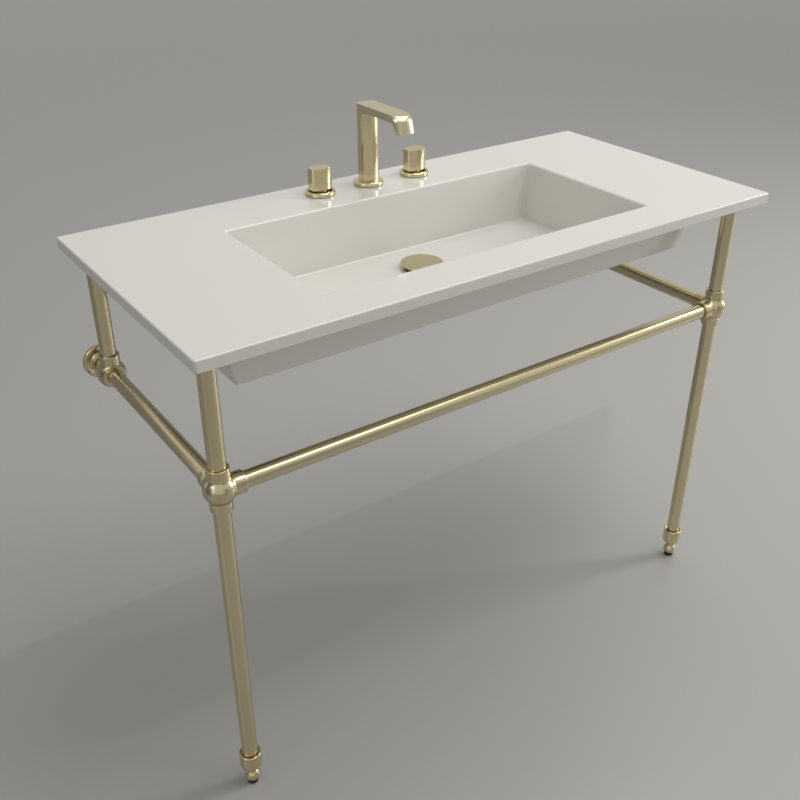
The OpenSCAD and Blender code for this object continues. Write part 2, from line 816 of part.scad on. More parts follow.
// Coil spring below the stem: one ring of points for each step along the helix
module push_spring() {
    steps = 12;
    sides = 6;
    coil_r = push_r - spring_wire_r - spring_gap;
    height = push_end - spring_z - 2 * spring_wire_r - 2 * rest_gap;
    rings = spring_turns * steps;
    z0 = spring_z + spring_wire_r + rest_gap;
    points = [for (k = [0:rings], j = [0:sides - 1])
        let (a = 360 * k / steps, b = 360 * j / sides, r = coil_r + spring_wire_r * cos(b))
        [r * cos(a), r * sin(a), z0 + height * k / rings + spring_wire_r * sin(b)]];
    skin = [for (k = [0:rings - 1], j = [0:sides - 1])
        let (a = k * sides + j, b = k * sides + (j + 1) % sides)
        each [[a, a + sides, b], [b, a + sides, b + sides]]];
    first = [for (j = [1:sides - 2]) [0, j, j + 1]];
    last = [for (j = [1:sides - 2]) [rings * sides, rings * sides + j + 1, rings * sides + j]];
    color(STEEL) at_drain(0) polyhedron(points, concat(skin, first, last));
}

// Lip, sleeve and spider of the drain
module drain_flange() {
    arms = 3;
    joint = 0.5;
    color(GOLD) at_drain(0) {
        translate([0, 0, seat_z]) ring(flange_lip_d / 2, sleeve_bore / 2, flange_lip_t);
        translate([0, 0, sleeve_z]) ring(sleeve_d / 2, sleeve_bore / 2, sleeve_h + joint);
        translate([0, 0, spider_z]) difference() {
            union() {
                cylinder(r = push_case_r + spider_hub, h = spider_h);
                for (k = [0:arms - 1]) rotate([0, 0, 90 + k * 360 / arms])
                    translate([0, -spider_arm / 2, 0])
                        cube([(sleeve_bore + sleeve_d) / 4, spider_arm, spider_h]);
            }
            translate([0, 0, -over]) cylinder(r = push_case_r + seat_gap, h = spider_h + 2 * over);
        }
    }
}

module drain_gasket() {
    color(RUBBER) at_drain(bowl_under - drain_gasket_t)
        ring(sleeve_d / 2 + drain_gasket_w, sleeve_d / 2 + seat_gap, drain_gasket_t);
}

module drain_locknut() {
    color(BRASS) at_drain(drain_nut_z) difference() {
        union() {
            hexagon(sleeve_d + 2 * drain_nut_flat, drain_nut_h);
            translate([0, 0, drain_nut_h - drain_nut_rim])
                cylinder(r = sleeve_d / 2 + drain_gasket_w, h = drain_nut_rim);
        }
        translate([0, 0, -over]) cylinder(r = sleeve_d / 2 + seat_gap, h = drain_nut_h + 2 * over);
    }
}

// Outlet pipe with a collar in the sleeve's lower end
module drain_outlet() {
    color(GOLD) at_drain(outlet_z) difference() {
        union() {
            cylinder(d = outlet_d, h = outlet_h);
            translate([0, 0, outlet_h - outlet_collar]) cylinder(r = sleeve_d / 2, h = outlet_collar);
            translate([0, 0, outlet_h - over])
                cylinder(r = sleeve_bore / 2 - seat_gap, h = over + outlet_plug);
        }
        translate([0, 0, -over])
            cylinder(r = outlet_d / 2 - outlet_wall, h = outlet_h + outlet_plug + 2 * over);
    }
}

// Stand; side is -1 on the left and 1 on the right

module tube(length) {
    ring(tube_r, tube_r - tube_wall, length);
}

// Socket of radius r that points up from a fitting's centre, with a fillet towards the ball
module socket_arm(reach, r) {
    fillet_z = sqrt(pow(ball_r + ball_fillet, 2) - pow(r + ball_fillet, 2));
    touch = atan2(fillet_z, r + ball_fillet);
    cylinder(r = r, h = reach);
    rotate_extrude() polygon(concat(
        [[0, 0], [0, fillet_z]],
        arc([r + ball_fillet, fillet_z], ball_fillet, 180, 180 + touch, 5),
        [[ball_r * cos(touch), 0]]
    ));
}

// Bore for a tube in a socket, with a hole for the set screw on its +X side
module socket_bore(reach, r, seat) {
    translate([0, 0, seat]) cylinder(r = bore_r, h = reach - seat + over);
    translate([0, 0, reach - screw_in]) rotate([0, 90, 0])
        cylinder(d = set_screw_d + 2 * seat_gap, h = r + ball_fillet);
}

// Set screw of a socket, from the tube out to just inside the socket's skin
module socket_screw(reach, r) {
    length = r - bore_r - screw_sink;
    translate([bore_r, 0, reach - screw_in]) rotate([0, 90, 0]) difference() {
        cylinder(d = set_screw_d, h = length);
        translate([0, 0, length / 2]) hexagon(set_screw_d / 2, length);
    }
}

// Directions of a fitting's sockets; each turns a socket that points up, screw side at +X
UP = [0, 0, 90];
DOWN = [180, 0, 90];
BACK = [-90, 90, 0];
FORE = [90, 90, 0];
function inward(side) = side < 0 ? [0, 90, 0] : [180, 90, 0];

// Each socket is its direction, reach, radius and seat
function front_sockets(side) = [
    [UP, socket_up, socket_r, up_seat], [DOWN, socket_down, socket_r, down_seat],
    [BACK, socket_rail, socket_r, rail_seat], [inward(side), socket_rail, socket_r, rail_seat]
];
function rear_sockets() = [
    [UP, socket_up, socket_r, up_seat], [FORE, collar_reach, collar_r, rear_seat],
    [BACK, socket_wall_reach, socket_r, wall_seat]
];

// Ball of a fitting, cut flat behind the mouths of sockets that are shorter than the ball
module fitting_ball(sockets) {
    difference() {
        sphere(r = ball_r);
        for (s = sockets) if (s[1] < ball_r) rotate(s[0]) translate([0, 0, s[1] - over])
            cylinder(r = s[2], h = ball_r);
    }
}

module fitting(sockets) {
    difference() {
        union() {
            fitting_ball(sockets);
            for (s = sockets) rotate(s[0]) socket_arm(s[1], s[2]);
        }
        for (s = sockets) rotate(s[0]) socket_bore(s[1], s[2], s[3]);
    }
}

module at_front_joint(side) {
    translate([side * post_x, post_fy, rail_z]) children();
}

module at_rear_joint(side) {
    translate([side * post_x, post_ry, rail_z]) children();
}

module front_fitting(side) {
    color(GOLD) at_front_joint(side) fitting(front_sockets(side));
}

module rear_fitting(side) {
    color(GOLD) at_rear_joint(side) fitting(rear_sockets());
}

module post(side, y) {
    start = rail_z + up_seat + rest_gap;
    color(GOLD) translate([side * post_x, y, start]) tube(deck_under - buffer_t - start);
}

module at_posts() {
    for (x = [-post_x, post_x], y = [post_fy, post_ry]) translate([x, y, 0]) children();
}

module post_collars() {
    color(GOLD) at_posts() translate([0, 0, deck_under - collar_h])
        ring(collar_d / 2, bore_r, collar_h);
}

module post_buffers() {
    color(RUBBER) at_posts() translate([0, 0, deck_under - buffer_t]) cylinder(r = tube_r, h = buffer_t);
}

module front_rail() {
    half = post_x - rail_seat - rest_gap;
    color(GOLD) translate([-half, post_fy, rail_z]) rotate([0, 90, 0]) tube(2 * half);
}

module side_rail(side) {
    start = post_fy + rail_seat + rest_gap;
    color(GOLD) translate([side * post_x, start, rail_z]) rotate([-90, 0, 0])
        tube(post_ry - rear_seat - rest_gap - start);
}

module wall_stub(side) {
    start = post_ry + wall_seat + rest_gap;
    color(GOLD) translate([side * post_x, start, rail_z]) rotate([-90, 0, 0])
        tube(wall_y - flange_back - rest_gap - start);
}

// Round flange with a rounded front edge and a neck around the stub
module wall_flange(side) {
    edge = flange_t / 2;
    color(GOLD) translate([side * post_x, wall_y, rail_z]) rotate([90, 0, 0]) difference() {
        union() {
            rotate_extrude() polygon(concat(
                [[0, 0], [flange_d / 2, 0]],
                arc([flange_d / 2 - edge, flange_t - edge], edge, 0, 90, 5),
                [[0, flange_t]]
            ));
            cylinder(r = socket_r, h = flange_t + flange_neck);
        }
        translate([0, 0, flange_back]) cylinder(r = bore_r, h = flange_t + flange_neck);
        for (k = [0:flange_holes - 1]) rotate([0, 0, 90 + k * 360 / flange_holes])
            translate([flange_pcd / 2, 0, -over]) cylinder(d = flange_hole_d, h = flange_t + 2 * over);
    }
}

module leg(side) {
    color(GOLD) translate([side * post_x, post_fy, leg_z])
        tube(rail_z - down_seat - rest_gap - leg_z);
}

// Socket at the foot of a leg, with a round shoulder down to the ball foot's neck
module foot_socket(side) {
    r = foot_socket_d / 2;
    bottom_r = foot_neck_r + foot_bottom_edge;
    color(GOLD) translate([side * post_x, post_fy, foot_socket_z]) difference() {
        rotate_extrude() polygon(concat(
            [[0, 0], [bottom_r, 0]],
            [for (k = [1:6]) [bottom_r + (r - bottom_r) * sin(15 * k), foot_shoulder * (1 - cos(15 * k))]],
            [[r, foot_socket_h - foot_mouth_edge], [r - foot_mouth_edge, foot_socket_h], [0, foot_socket_h]]
        ));
        translate([0, 0, -over]) cylinder(r = stud_r + running_fit, h = foot_socket_h);
        translate([0, 0, foot_shoulder + leg_seat - rest_gap]) cylinder(r = bore_r, h = foot_socket_h);
        translate([0, 0, foot_socket_h - foot_counterbore])
            cylinder(r = bore_r + foot_mouth_gap, h = foot_counterbore + over);
    }
}

// Ball foot with a neck and a threaded stud
module foot(side) {
    stud_top = foot_socket_z + stud_h;
    color(GOLD) translate([side * post_x, post_fy, 0]) difference() {
        union() {
            translate([0, 0, foot_ball_z]) sphere(r = foot_ball_r);
            translate([0, 0, foot_ball_z])
                cylinder(r = foot_neck_r, h = foot_socket_z - rest_gap - foot_ball_z);
            translate([0, 0, foot_ball_z]) cylinder(r = stud_r, h = stud_top - foot_ball_z);
        }
        translate([0, 0, -foot_ball_r]) cylinder(r = foot_ball_r, h = foot_ball_r + pad_t);
        translate([0, 0, -over])
            cylinder(r = stud_r / 2 + seat_gap, h = pad_t + pad_plug + rest_gap + over);
    }
}

// Rubber pad with a plug that holds it in the ball foot
module foot_pad(side) {
    color(RUBBER) translate([side * post_x, post_fy, 0]) {
        cylinder(r = pad_r, h = pad_t);
        cylinder(r = stud_r / 2, h = pad_t + pad_plug);
    }
}

module set_screws() {
    color(STEEL) for (side = [-1, 1]) {
        at_front_joint(side) for (s = front_sockets(side)) rotate(s[0]) socket_screw(s[1], s[2]);
        at_rear_joint(side) for (s = rear_sockets()) rotate(s[0]) socket_screw(s[1], s[2]);
    }
}

basin();
spout_body();
spout_shank();
spout_tee();
aerator();
deck_rings();
deck_gaskets();
rubber_washers();
steel_washers();
locknuts();
knob(-1);  // hot_knob
valve_stem(-1);  // hot_stem
knob_screw(-1);  // hot_knob_screw
cartridge(-1);  // hot_cartridge
valve_body(-1);  // hot_valve_body
knob(1);  // cold_knob
valve_stem(1);  // cold_stem
knob_screw(1);  // cold_knob_screw
cartridge(1);  // cold_cartridge
valve_body(1);  // cold_valve_body
feed_tube(-1);  // hot_feed_tube
feed_tube(1);  // cold_feed_tube
feed_tube_nuts();
drain_cap();
drain_cap_seal();
push_stem();
push_cartridge();
push_spring();
drain_flange();
drain_gasket();
drain_locknut();
drain_outlet();
front_fitting(-1);  // left_front_fitting
front_fitting(1);  // right_front_fitting
rear_fitting(-1);  // left_rear_fitting
rear_fitting(1);  // right_rear_fitting
post(-1, post_fy);  // left_front_post
post(1, post_fy);  // right_front_post
post(-1, post_ry);  // left_rear_post
post(1, post_ry);  // right_rear_post
post_collars();
post_buffers();
front_rail();
side_rail(-1);  // left_side_rail
side_rail(1);  // right_side_rail
wall_stub(-1);  // left_wall_stub
wall_stub(1);  // right_wall_stub
wall_flange(-1);  // left_wall_flange
wall_flange(1);  // right_wall_flange
leg(-1);  // left_leg
leg(1);  // right_leg
foot_socket(-1);  // left_foot_socket
foot_socket(1);  // right_foot_socket
foot(-1);  // left_foot
foot(1);  // right_foot
foot_pad(-1);  // left_foot_pad
foot_pad(1);  // right_foot_pad
set_screws();
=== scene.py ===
"""Bathroom console sink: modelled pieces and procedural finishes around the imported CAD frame.

Sizes are in millimetres, as in the CAD, and meshes are in metres, in the frame's own axes: X runs along
the wall, Y points to the wall and Z is up from the floor.
"""

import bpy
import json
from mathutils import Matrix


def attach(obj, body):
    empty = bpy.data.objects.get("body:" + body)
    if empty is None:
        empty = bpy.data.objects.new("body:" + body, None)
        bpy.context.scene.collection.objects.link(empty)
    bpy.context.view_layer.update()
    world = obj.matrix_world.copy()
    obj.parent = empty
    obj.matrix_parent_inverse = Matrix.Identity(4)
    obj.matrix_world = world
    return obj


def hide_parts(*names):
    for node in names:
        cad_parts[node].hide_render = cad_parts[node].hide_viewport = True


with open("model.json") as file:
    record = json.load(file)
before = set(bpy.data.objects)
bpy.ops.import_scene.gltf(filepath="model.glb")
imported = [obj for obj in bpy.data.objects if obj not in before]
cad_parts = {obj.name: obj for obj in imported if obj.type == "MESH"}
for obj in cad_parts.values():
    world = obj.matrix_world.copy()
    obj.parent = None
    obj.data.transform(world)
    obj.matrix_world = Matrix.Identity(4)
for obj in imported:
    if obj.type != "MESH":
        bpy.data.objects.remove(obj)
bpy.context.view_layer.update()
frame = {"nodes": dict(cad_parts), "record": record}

import json
import logging
import math
from collections.abc import Callable, Sequence
from dataclasses import dataclass, field, replace
from enum import Enum

import bpy
from mathutils import Matrix, Vector

log = logging.getLogger("console_sink")

MM = 0.001
# Steps of a full turn, by how wide the turned piece is
TURN_STEPS = 96
MID_STEPS = 64
FINE_STEPS = 48
HOLE_STEPS = 40
# Distances below which two places are the same, in millimetres and, for welding, in metres
SNAP = 0.01
WELD = 1e-6
# How far apart in height the two ends of an upright edge are, at least
UPRIGHT = 1.0
# Angles in degrees from which an edge is softened, and from which it stays sharp on softened pieces
# and on turned ones
CRISP = 25.0
SOFT_ANGLE = 34.0
TURNED_ANGLE = 30.0

Object = bpy.types.Object
Material = bpy.types.Material
Node = bpy.types.Node
Socket = bpy.types.NodeSocket
NodeTree = bpy.types.NodeTree
Point = tuple[float, float, float]
Flat = tuple[float, float]
Color = tuple[float, float, float, float]


class Side(Enum):
    """A side of the sink, as its sign along X."""

    LEFT = -1
    RIGHT = 1


class Meet(Enum):
    """What happens where two solids meet."""

    JOIN = "UNION"
    CUT = "DIFFERENCE"


class Facing(Enum):
    """Where the open end of a socket or the top of a turned piece points."""

    UP = (0.0, 0.0, 1.0)
    DOWN = (0.0, 0.0, -1.0)
    WALL = (0.0, 1.0, 0.0)
    ROOM = (0.0, -1.0, 0.0)
    RIGHT = (1.0, 0.0, 0.0)

    def matrix(self) -> Matrix:
        """Returns the turn that brings Z to this direction."""
        return Vector((0, 0, 1)).rotation_difference(Vector(self.value)).to_matrix().to_4x4()


# Modelling


def metres(values: Sequence[float]) -> tuple[float, ...]:
    """Returns millimetres as metres."""
    return tuple(value * MM for value in values)


def deselect() -> None:
    """Leaves edit mode and deselects every object."""
    if bpy.context.object and bpy.context.object.mode != "OBJECT":
        bpy.ops.object.mode_set(mode="OBJECT")
    bpy.ops.object.select_all(action="DESELECT")


def activate(piece: Object) -> None:
    """Makes a piece the only selected one."""
    deselect()
    piece.select_set(True)
    bpy.context.view_layer.objects.active = piece


def named(piece: Object, name: str) -> Object:
    """Gives a piece and its mesh a name, and returns the piece."""
    piece.name = piece.data.name = name
    return piece


def open_mesh(piece: Object, parts: str = "VERT") -> None:
    """Opens a piece in edit mode with nothing selected.

    Args:
        piece: the piece to edit.
        parts: VERT, EDGE or FACE, what will be selected.
    """
    activate(piece)
    bpy.ops.object.mode_set(mode="EDIT")
    bpy.ops.mesh.select_mode(type=parts)
    bpy.ops.mesh.select_all(action="DESELECT")


def close_mesh() -> None:
    """Goes back to object mode."""
    bpy.ops.object.mode_set(mode="OBJECT")


def choose(piece: Object, parts: str, test: Callable[..., bool]) -> None:
    """Selects the vertices, edges or faces of a piece that pass a test, in edit mode.

    Args:
        piece: the piece to edit.
        parts: VERT, EDGE or FACE.
        test: takes a vertex's place, an edge's two ends, or a face's centre and normal. Places are in
            millimetres.
    """
    open_mesh(piece, parts)
    close_mesh()
    mesh = piece.data
    if parts == "VERT":
        rows = [(vertex, (vertex.co / MM,)) for vertex in mesh.vertices]
    elif parts == "EDGE":
        rows = [(edge, tuple(mesh.vertices[k].co / MM for k in edge.vertices)) for edge in mesh.edges]
    else:
        rows = [(face, (face.center / MM, face.normal)) for face in mesh.polygons]
    for part, places in rows:
        part.select = test(*places)
    bpy.ops.object.mode_set(mode="EDIT")


def start_plane(name: str, size: float) -> Object:
    """Adds a plane at the origin and opens it with all of it selected.

    Args:
        name: the piece's name.
        size: the plane's side in metres.

    Returns:
        The new piece.
    """
    deselect()
    bpy.ops.mesh.primitive_plane_add(size=size)
    piece = named(bpy.context.object, name)
    bpy.ops.object.mode_set(mode="EDIT")
    bpy.ops.mesh.select_mode(type="VERT")
    bpy.ops.mesh.select_all(action="SELECT")
    return piece


def trace(name: str, points: Sequence[Point]) -> Object:
    """Starts a piece as one vertex and extrudes it along a line of points.

    Args:
        name: the piece's name.
        points: the line's points in millimetres.

    Returns:
        The new piece, in edit mode.
    """
    piece = start_plane(name, MM)
    bpy.ops.mesh.merge(type="CENTER")
    bpy.ops.transform.translate(value=metres(points[0]))
    for here, there in zip(points, points[1:]):
        step = metres(b - a for a, b in zip(here, there))
        bpy.ops.mesh.extrude_region_move(TRANSFORM_OT_translate={"value": step})
    bpy.ops.mesh.select_all(action="SELECT")
    return piece


def face_outwards() -> None:
    """Merges doubles and turns all normals outwards, then closes the mesh."""
    bpy.ops.mesh.select_all(action="SELECT")
    bpy.ops.mesh.remove_doubles(threshold=WELD)
    bpy.ops.mesh.normals_make_consistent(inside=False)
    close_mesh()


def turned(name: str, profile: Sequence[Flat], steps: int = TURN_STEPS) -> Object:
    """Turns a piece around Z, as on a lathe.

    Args:
        name: the piece's name.
        profile: points of radius and height, in millimetres.
        steps: the number of steps around.

    Returns:
        The new piece.
    """
    piece = trace(name, [(radius, 0.0, height) for radius, height in profile])
    bpy.ops.mesh.spin(
        steps=steps, angle=math.tau, center=(0, 0, 0), axis=(0, 0, 1), use_auto_merge=True
    )
    face_outwards()
    return piece


def extruded(name: str, outline: Sequence[Point], step: Point) -> Object:
    """Fills a flat outline and extrudes it into a prism.

    Args:
        name: the piece's name.
        outline: the outline's corners in millimetres.
        step: how far and where it is extruded.

    Returns:
        The new piece.
    """
    piece = trace(name, outline)
    bpy.ops.mesh.edge_face_add()
    bpy.ops.mesh.extrude_region_move(TRANSFORM_OT_translate={"value": metres(step)})
    face_outwards()
    return piece


@dataclass(frozen=True)
class Level:
    """A rectangle at a height, in millimetres."""

    z: float
    left: float
    right: float
    front: float
    back: float

    def middle(self) -> Point:
        """Returns the rectangle's middle."""
        return ((self.left + self.right) / 2, (self.front + self.back) / 2, self.z)

    def width(self) -> float:
        """Returns the size along X."""
        return self.right - self.left

    def depth(self) -> float:
        """Returns the size along Y."""
        return self.back - self.front


def stacked(name: str, levels: Sequence[Level]) -> Object:
    """Extrudes a rectangle upwards through a list of levels.

    Args:
        name: the piece's name.
        levels: the rectangles, from the lowest to the highest.

    Returns:
        The new piece.
    """
    first = levels[0]
    piece = start_plane(name, 1.0)
    bpy.ops.transform.resize(value=(first.width() * MM, first.depth() * MM, 1), center_override=(0, 0, 0))
    bpy.ops.transform.translate(value=metres(first.middle()))
    for low, high in zip(levels, levels[1:]):
        step = metres(b - a for a, b in zip(low.middle(), high.middle()))
        bpy.ops.mesh.extrude_region_move(TRANSFORM_OT_translate={"value": step})
        bpy.ops.transform.resize(
            value=(high.width() / low.width(), high.depth() / low.depth(), 1),
            center_override=metres(high.middle()),
        )
    face_outwards()
    return piece


def round_off(
    piece: Object, test: Callable[[Vector, Vector], bool], radius: float, segments: int = 4
) -> None:
    """Rounds the edges of a piece that pass a test.

    Args:
        piece: the piece to edit.
        test: says if an edge between two places, in millimetres, is rounded.
        radius: the rounding's size in millimetres.
        segments: the number of faces across the rounding.
    """
    choose(piece, "EDGE", test)
    bpy.ops.mesh.bevel(offset=radius * MM, segments=segments, affect="EDGES", clamp_overlap=True)
    face_outwards()


def place(
    piece: Object, at: Point = (0, 0, 0), facing: Facing = Facing.UP, mirrored: bool = False
) -> Object:
    """Puts a piece that was made at the origin in its place, and keeps the place in its mesh.

    Args:
        piece: the piece to place.
        at: where its origin goes, in millimetres.
        facing: where its Z axis points.
        mirrored: whether it is first mirrored left to right.

    Returns:
        The same piece.
    """
    activate(piece)
    flip = Matrix.Diagonal((-1, 1, 1, 1)) if mirrored else Matrix()
    piece.matrix_world = Matrix.Translation(metres(at)) @ facing.matrix() @ flip
    bpy.ops.object.transform_apply(location=True, rotation=True, scale=True)
    if mirrored:
        open_mesh(piece)
        face_outwards()
    return piece


def copied(piece: Object, name: str) -> Object:
    """Copies a piece with its own mesh.

    Args:
        piece: the piece to copy.
        name: the copy's name.

    Returns:
        The copy.
    """
    activate(piece)
    bpy.ops.object.duplicate(linked=False)
    return named(bpy.context.object, name)


def both_sides(left: Object, names: Sequence[str]) -> list[tuple[Side, Object]]:
    """Copies a piece for the right side, and names the left piece and its copy."""
    right = copied(left, names[1])
    return [(Side.LEFT, named(left, names[0])), (Side.RIGHT, right)]


def joined(name: str, pieces: Sequence[Object]) -> Object:
    """Joins pieces into one, which keeps all their shapes.

    Args:
        name: the piece's name.
        pieces: the pieces to join.

    Returns:
        The joined piece.
    """
    activate(pieces[0])
    for piece in pieces[1:]:
        piece.select_set(True)
    bpy.ops.object.join()
    return named(bpy.context.object, name)


def combine(piece: Object, tool: Object, how: Meet) -> None:
    """Joins a piece with another solid or cuts it, and uses the other solid up.

    Args:
        piece: the piece that stays.
        tool: the solid that is used up.
        how: what happens where they meet.
    """
    activate(piece)
    modifier = piece.modifiers.new(name=how.name, type="BOOLEAN")
    modifier.operation = how.value
    modifier.solver = "EXACT"
    modifier.object = tool
    bpy.ops.object.modifier_apply(modifier=modifier.name)
    bpy.data.objects.remove(tool)


def stepped(low: float, *steps: Flat) -> list[Flat]:
    """Lists the profile of a turned solid with steps.

    Args:
        low: the height of its lower end.
        steps: the radius and the upper end of each step, upwards.

    Returns:
        The profile's points of radius and height, from axis to axis.
    """
    profile = [(0.0, low)]
    for radius, high in steps:
        profile += [(radius, profile[-1][1]), (radius, high)]
    return profile + [(0.0, profile[-1][1])]


def drill(
    piece: Object, profile: Sequence[Flat], at: Point = (0, 0, 0), facing: Facing = Facing.UP,
    steps: int = TURN_STEPS,
) -> None:
    """Cuts a turned solid out of a piece.

    Args:
        piece: the piece to cut.
        profile: the solid's points of radius and height, in millimetres.
        at: where its axis starts.
        facing: where its axis points.
        steps: the number of steps around.
    """
    combine(piece, place(turned("drill", profile, steps), at, facing), Meet.CUT)


def applied(piece: Object, kind: str, **settings: object) -> None:
    """Adds a modifier to a piece and applies it.

    Args:
        piece: the piece to change.
        kind: the modifier's type.
        settings: the modifier's properties by name.
    """
    activate(piece)
    modifier = piece.modifiers.new(name=kind, type=kind)
    for key, value in settings.items():
        setattr(modifier, key, value)
    bpy.ops.object.modifier_apply(modifier=modifier.name)


def smooth(piece: Object, degrees: float = TURNED_ANGLE) -> None:
    """Shades a piece smooth, apart from edges that are sharper than an angle."""
    activate(piece)
    bpy.ops.object.shade_smooth_by_angle(angle=math.radians(degrees))


def soften(piece: Object, width: float) -> None:
    """Rounds every crisp edge of a finished metal piece and keeps its flat faces flat.

    Args:
        piece: the piece to change.
        width: the rounding's size in millimetres.
    """
    applied(
        piece, "BEVEL", width=width * MM, segments=3, limit_method="ANGLE",
        angle_limit=math.radians(CRISP),
    )
    smooth(piece, SOFT_ANGLE)
    applied(piece, "WEIGHTED_NORMAL", keep_sharp=True)


def arc(centre: Flat, radius: float, start: float, end: float, count: int = 8) -> list[Flat]:
    """Lists the points of an arc.

    Args:
        centre: the arc's centre.
        radius: its radius.
        start: the angle of its first point, in degrees.
        end: the angle of its last point.
        count: the number of steps between them.

    Returns:
        The points, from start to end.
    """
    angles = [math.radians(start + (end - start) * k / count) for k in range(count + 1)]
    return [(centre[0] + radius * math.cos(a), centre[1] + radius * math.sin(a)) for a in angles]


@dataclass(frozen=True)
class Bulge:
    """A section with flat sides, a bulging front and back, and cut corners, in millimetres."""

    half: float
    deep: float
    side: float
    corner: float
    corner_slope: float = 57.0

    def quarter(self) -> list[Flat]:
        """Lists a quarter of the section, from the middle of its bulging back to its right side.

        Returns:
            The quarter's points, with the back towards positive Y.
        """
        radius = (self.half**2 + (self.deep - self.side) ** 2) / (2 * (self.deep - self.side))
        across = self.half - self.corner
        rise = math.sqrt(radius**2 - across**2)
        turn = math.degrees(math.atan2(rise, across))
        bulge = arc((0, self.deep - radius), radius, 90, turn, 12)
        fall = self.corner * math.tan(math.radians(self.corner_slope))
        return bulge + [(self.half, bulge[-1][1] - fall), (self.half, 0.0)]


def stretched(quarter: Sequence[Flat], reach: float) -> list[Flat]:
    """Makes a closed outline from a quarter, with its front half moved forward.

    Args:
        quarter: the points of one quarter.
        reach: how far the front half is moved towards the room.

    Returns:
        The outline's points, one way around.
    """
    right_back = list(quarter)
    right_front = [(x, -y - reach) for x, y in reversed(quarter)]
    left_front = [(-x, -y - reach) for x, y in quarter]
    left_back = [(-x, y) for x, y in reversed(quarter)]
    outline: list[Flat] = []
    for point in right_back + right_front + left_front + left_back:
        if not outline or math.dist(point, outline[-1]) > SNAP:
            outline.append(point)
    return outline[:-1] if math.dist(outline[0], outline[-1]) < SNAP else outline


# Shared shader groups


class Group:
    """A shader node group with named inputs and outputs, built once."""

    def __init__(self, name: str, inputs: dict[str, float], outputs: dict[str, str]) -> None:
        """Makes an empty group.

        Args:
            name: the group's name.
            inputs: its value inputs with their defaults.
            outputs: its outputs with NodeSocketFloat or NodeSocketColor.
        """
        self.tree = bpy.data.node_groups.new(name, "ShaderNodeTree")
        for key, value in inputs.items():
            socket = self.tree.interface.new_socket(
                name=key, in_out="INPUT", socket_type="NodeSocketFloat"
            )
            socket.default_value = value
        for key, kind in outputs.items():
            self.tree.interface.new_socket(name=key, in_out="OUTPUT", socket_type=kind)
        self.inputs = self.tree.nodes.new("NodeGroupInput").outputs
        self.outputs = self.tree.nodes.new("NodeGroupOutput").inputs

    def add(self, kind: str, links: dict | None = None, **settings: object) -> Node:
        """Adds a node to the group, as add_node does."""
        return add_node(self.tree, kind, links, **settings)

    def noise(self, vector: Socket, scale: Socket, **values: float) -> Socket:
        """Adds a noise texture with its values by name, and returns its height."""
        links = {"Vector": vector, "Scale": scale}
        return self.add("ShaderNodeTexNoise", links, inputs=values).outputs["Fac"]

    def put_out(self, name: str, socket: Socket) -> None:
        """Feeds one of the group's outputs."""
        self.tree.links.new(socket, self.outputs[name])


def add_node(tree: NodeTree, kind: str, links: dict | None = None, **settings: object) -> Node:
    """Adds a node to a tree.

    Args:
        tree: the tree it goes in.
        kind: the node's type.
        links: sockets that feed its inputs, by input name or number.
        settings: its properties; a value for an input is given in inputs, by name or number.

    Returns:
        The node.
    """
    node = tree.nodes.new(kind)
    values = settings.pop("inputs", {})
    for key, value in settings.items():
        setattr(node, key, value)
    for key, value in values.items():
        node.inputs[key].default_value = value
    for key, socket in (links or {}).items():
        tree.links.new(socket, node.inputs[key])
    return node


def mixed(tree: NodeTree, factor: Socket, first: Color | Socket, second: Color) -> Socket:
    """Mixes two colours.

    Args:
        tree: the tree that the node goes in.
        factor: how much of the second colour shows.
        first: the first colour, or a socket that gives it.
        second: the second colour.

    Returns:
        The socket that gives the mix.
    """
    node = add_node(tree, "ShaderNodeMix", {0: factor}, data_type="RGBA")
    first_in, second_in = [socket for socket in node.inputs if socket.type == "RGBA"]
    if isinstance(first, Socket):
        tree.links.new(first, first_in)
    else:
        first_in.default_value = first
    second_in.default_value = second
    return next(socket for socket in node.outputs if socket.type == "RGBA")


def grain_group() -> NodeTree:
    """Builds the fine grain of a brushed or satin surface.

    Returns:
        A group that puts out a grain height and a slow variation, both from 0 to 1.
    """
    group = Group(
        "Satin grain",
        {"Grain scale": 900.0, "Stretch": 0.1, "Patch scale": 9.0},
        {"Grain": "NodeSocketFloat", "Patches": "NodeSocketFloat"},
    )
    place_node = group.add("ShaderNodeTexCoord")
    across = group.add(
        "ShaderNodeCombineXYZ", {"Z": group.inputs["Stretch"]}, inputs={"X": 1.0, "Y": 1.0}
    )
    scaled = group.add(
        "ShaderNodeVectorMath", {0: place_node.outputs["Object"], 1: across.outputs[0]},
        operation="MULTIPLY",
    )
    at = place_node.outputs["Object"]
    grain = group.noise(scaled.outputs[0], group.inputs["Grain scale"], Detail=3.0, Roughness=0.6)
    patches = group.noise(at, group.inputs["Patch scale"], Detail=4.0, Roughness=0.55)
    group.put_out("Grain", grain)
    group.put_out("Patches", patches)
    return group.tree


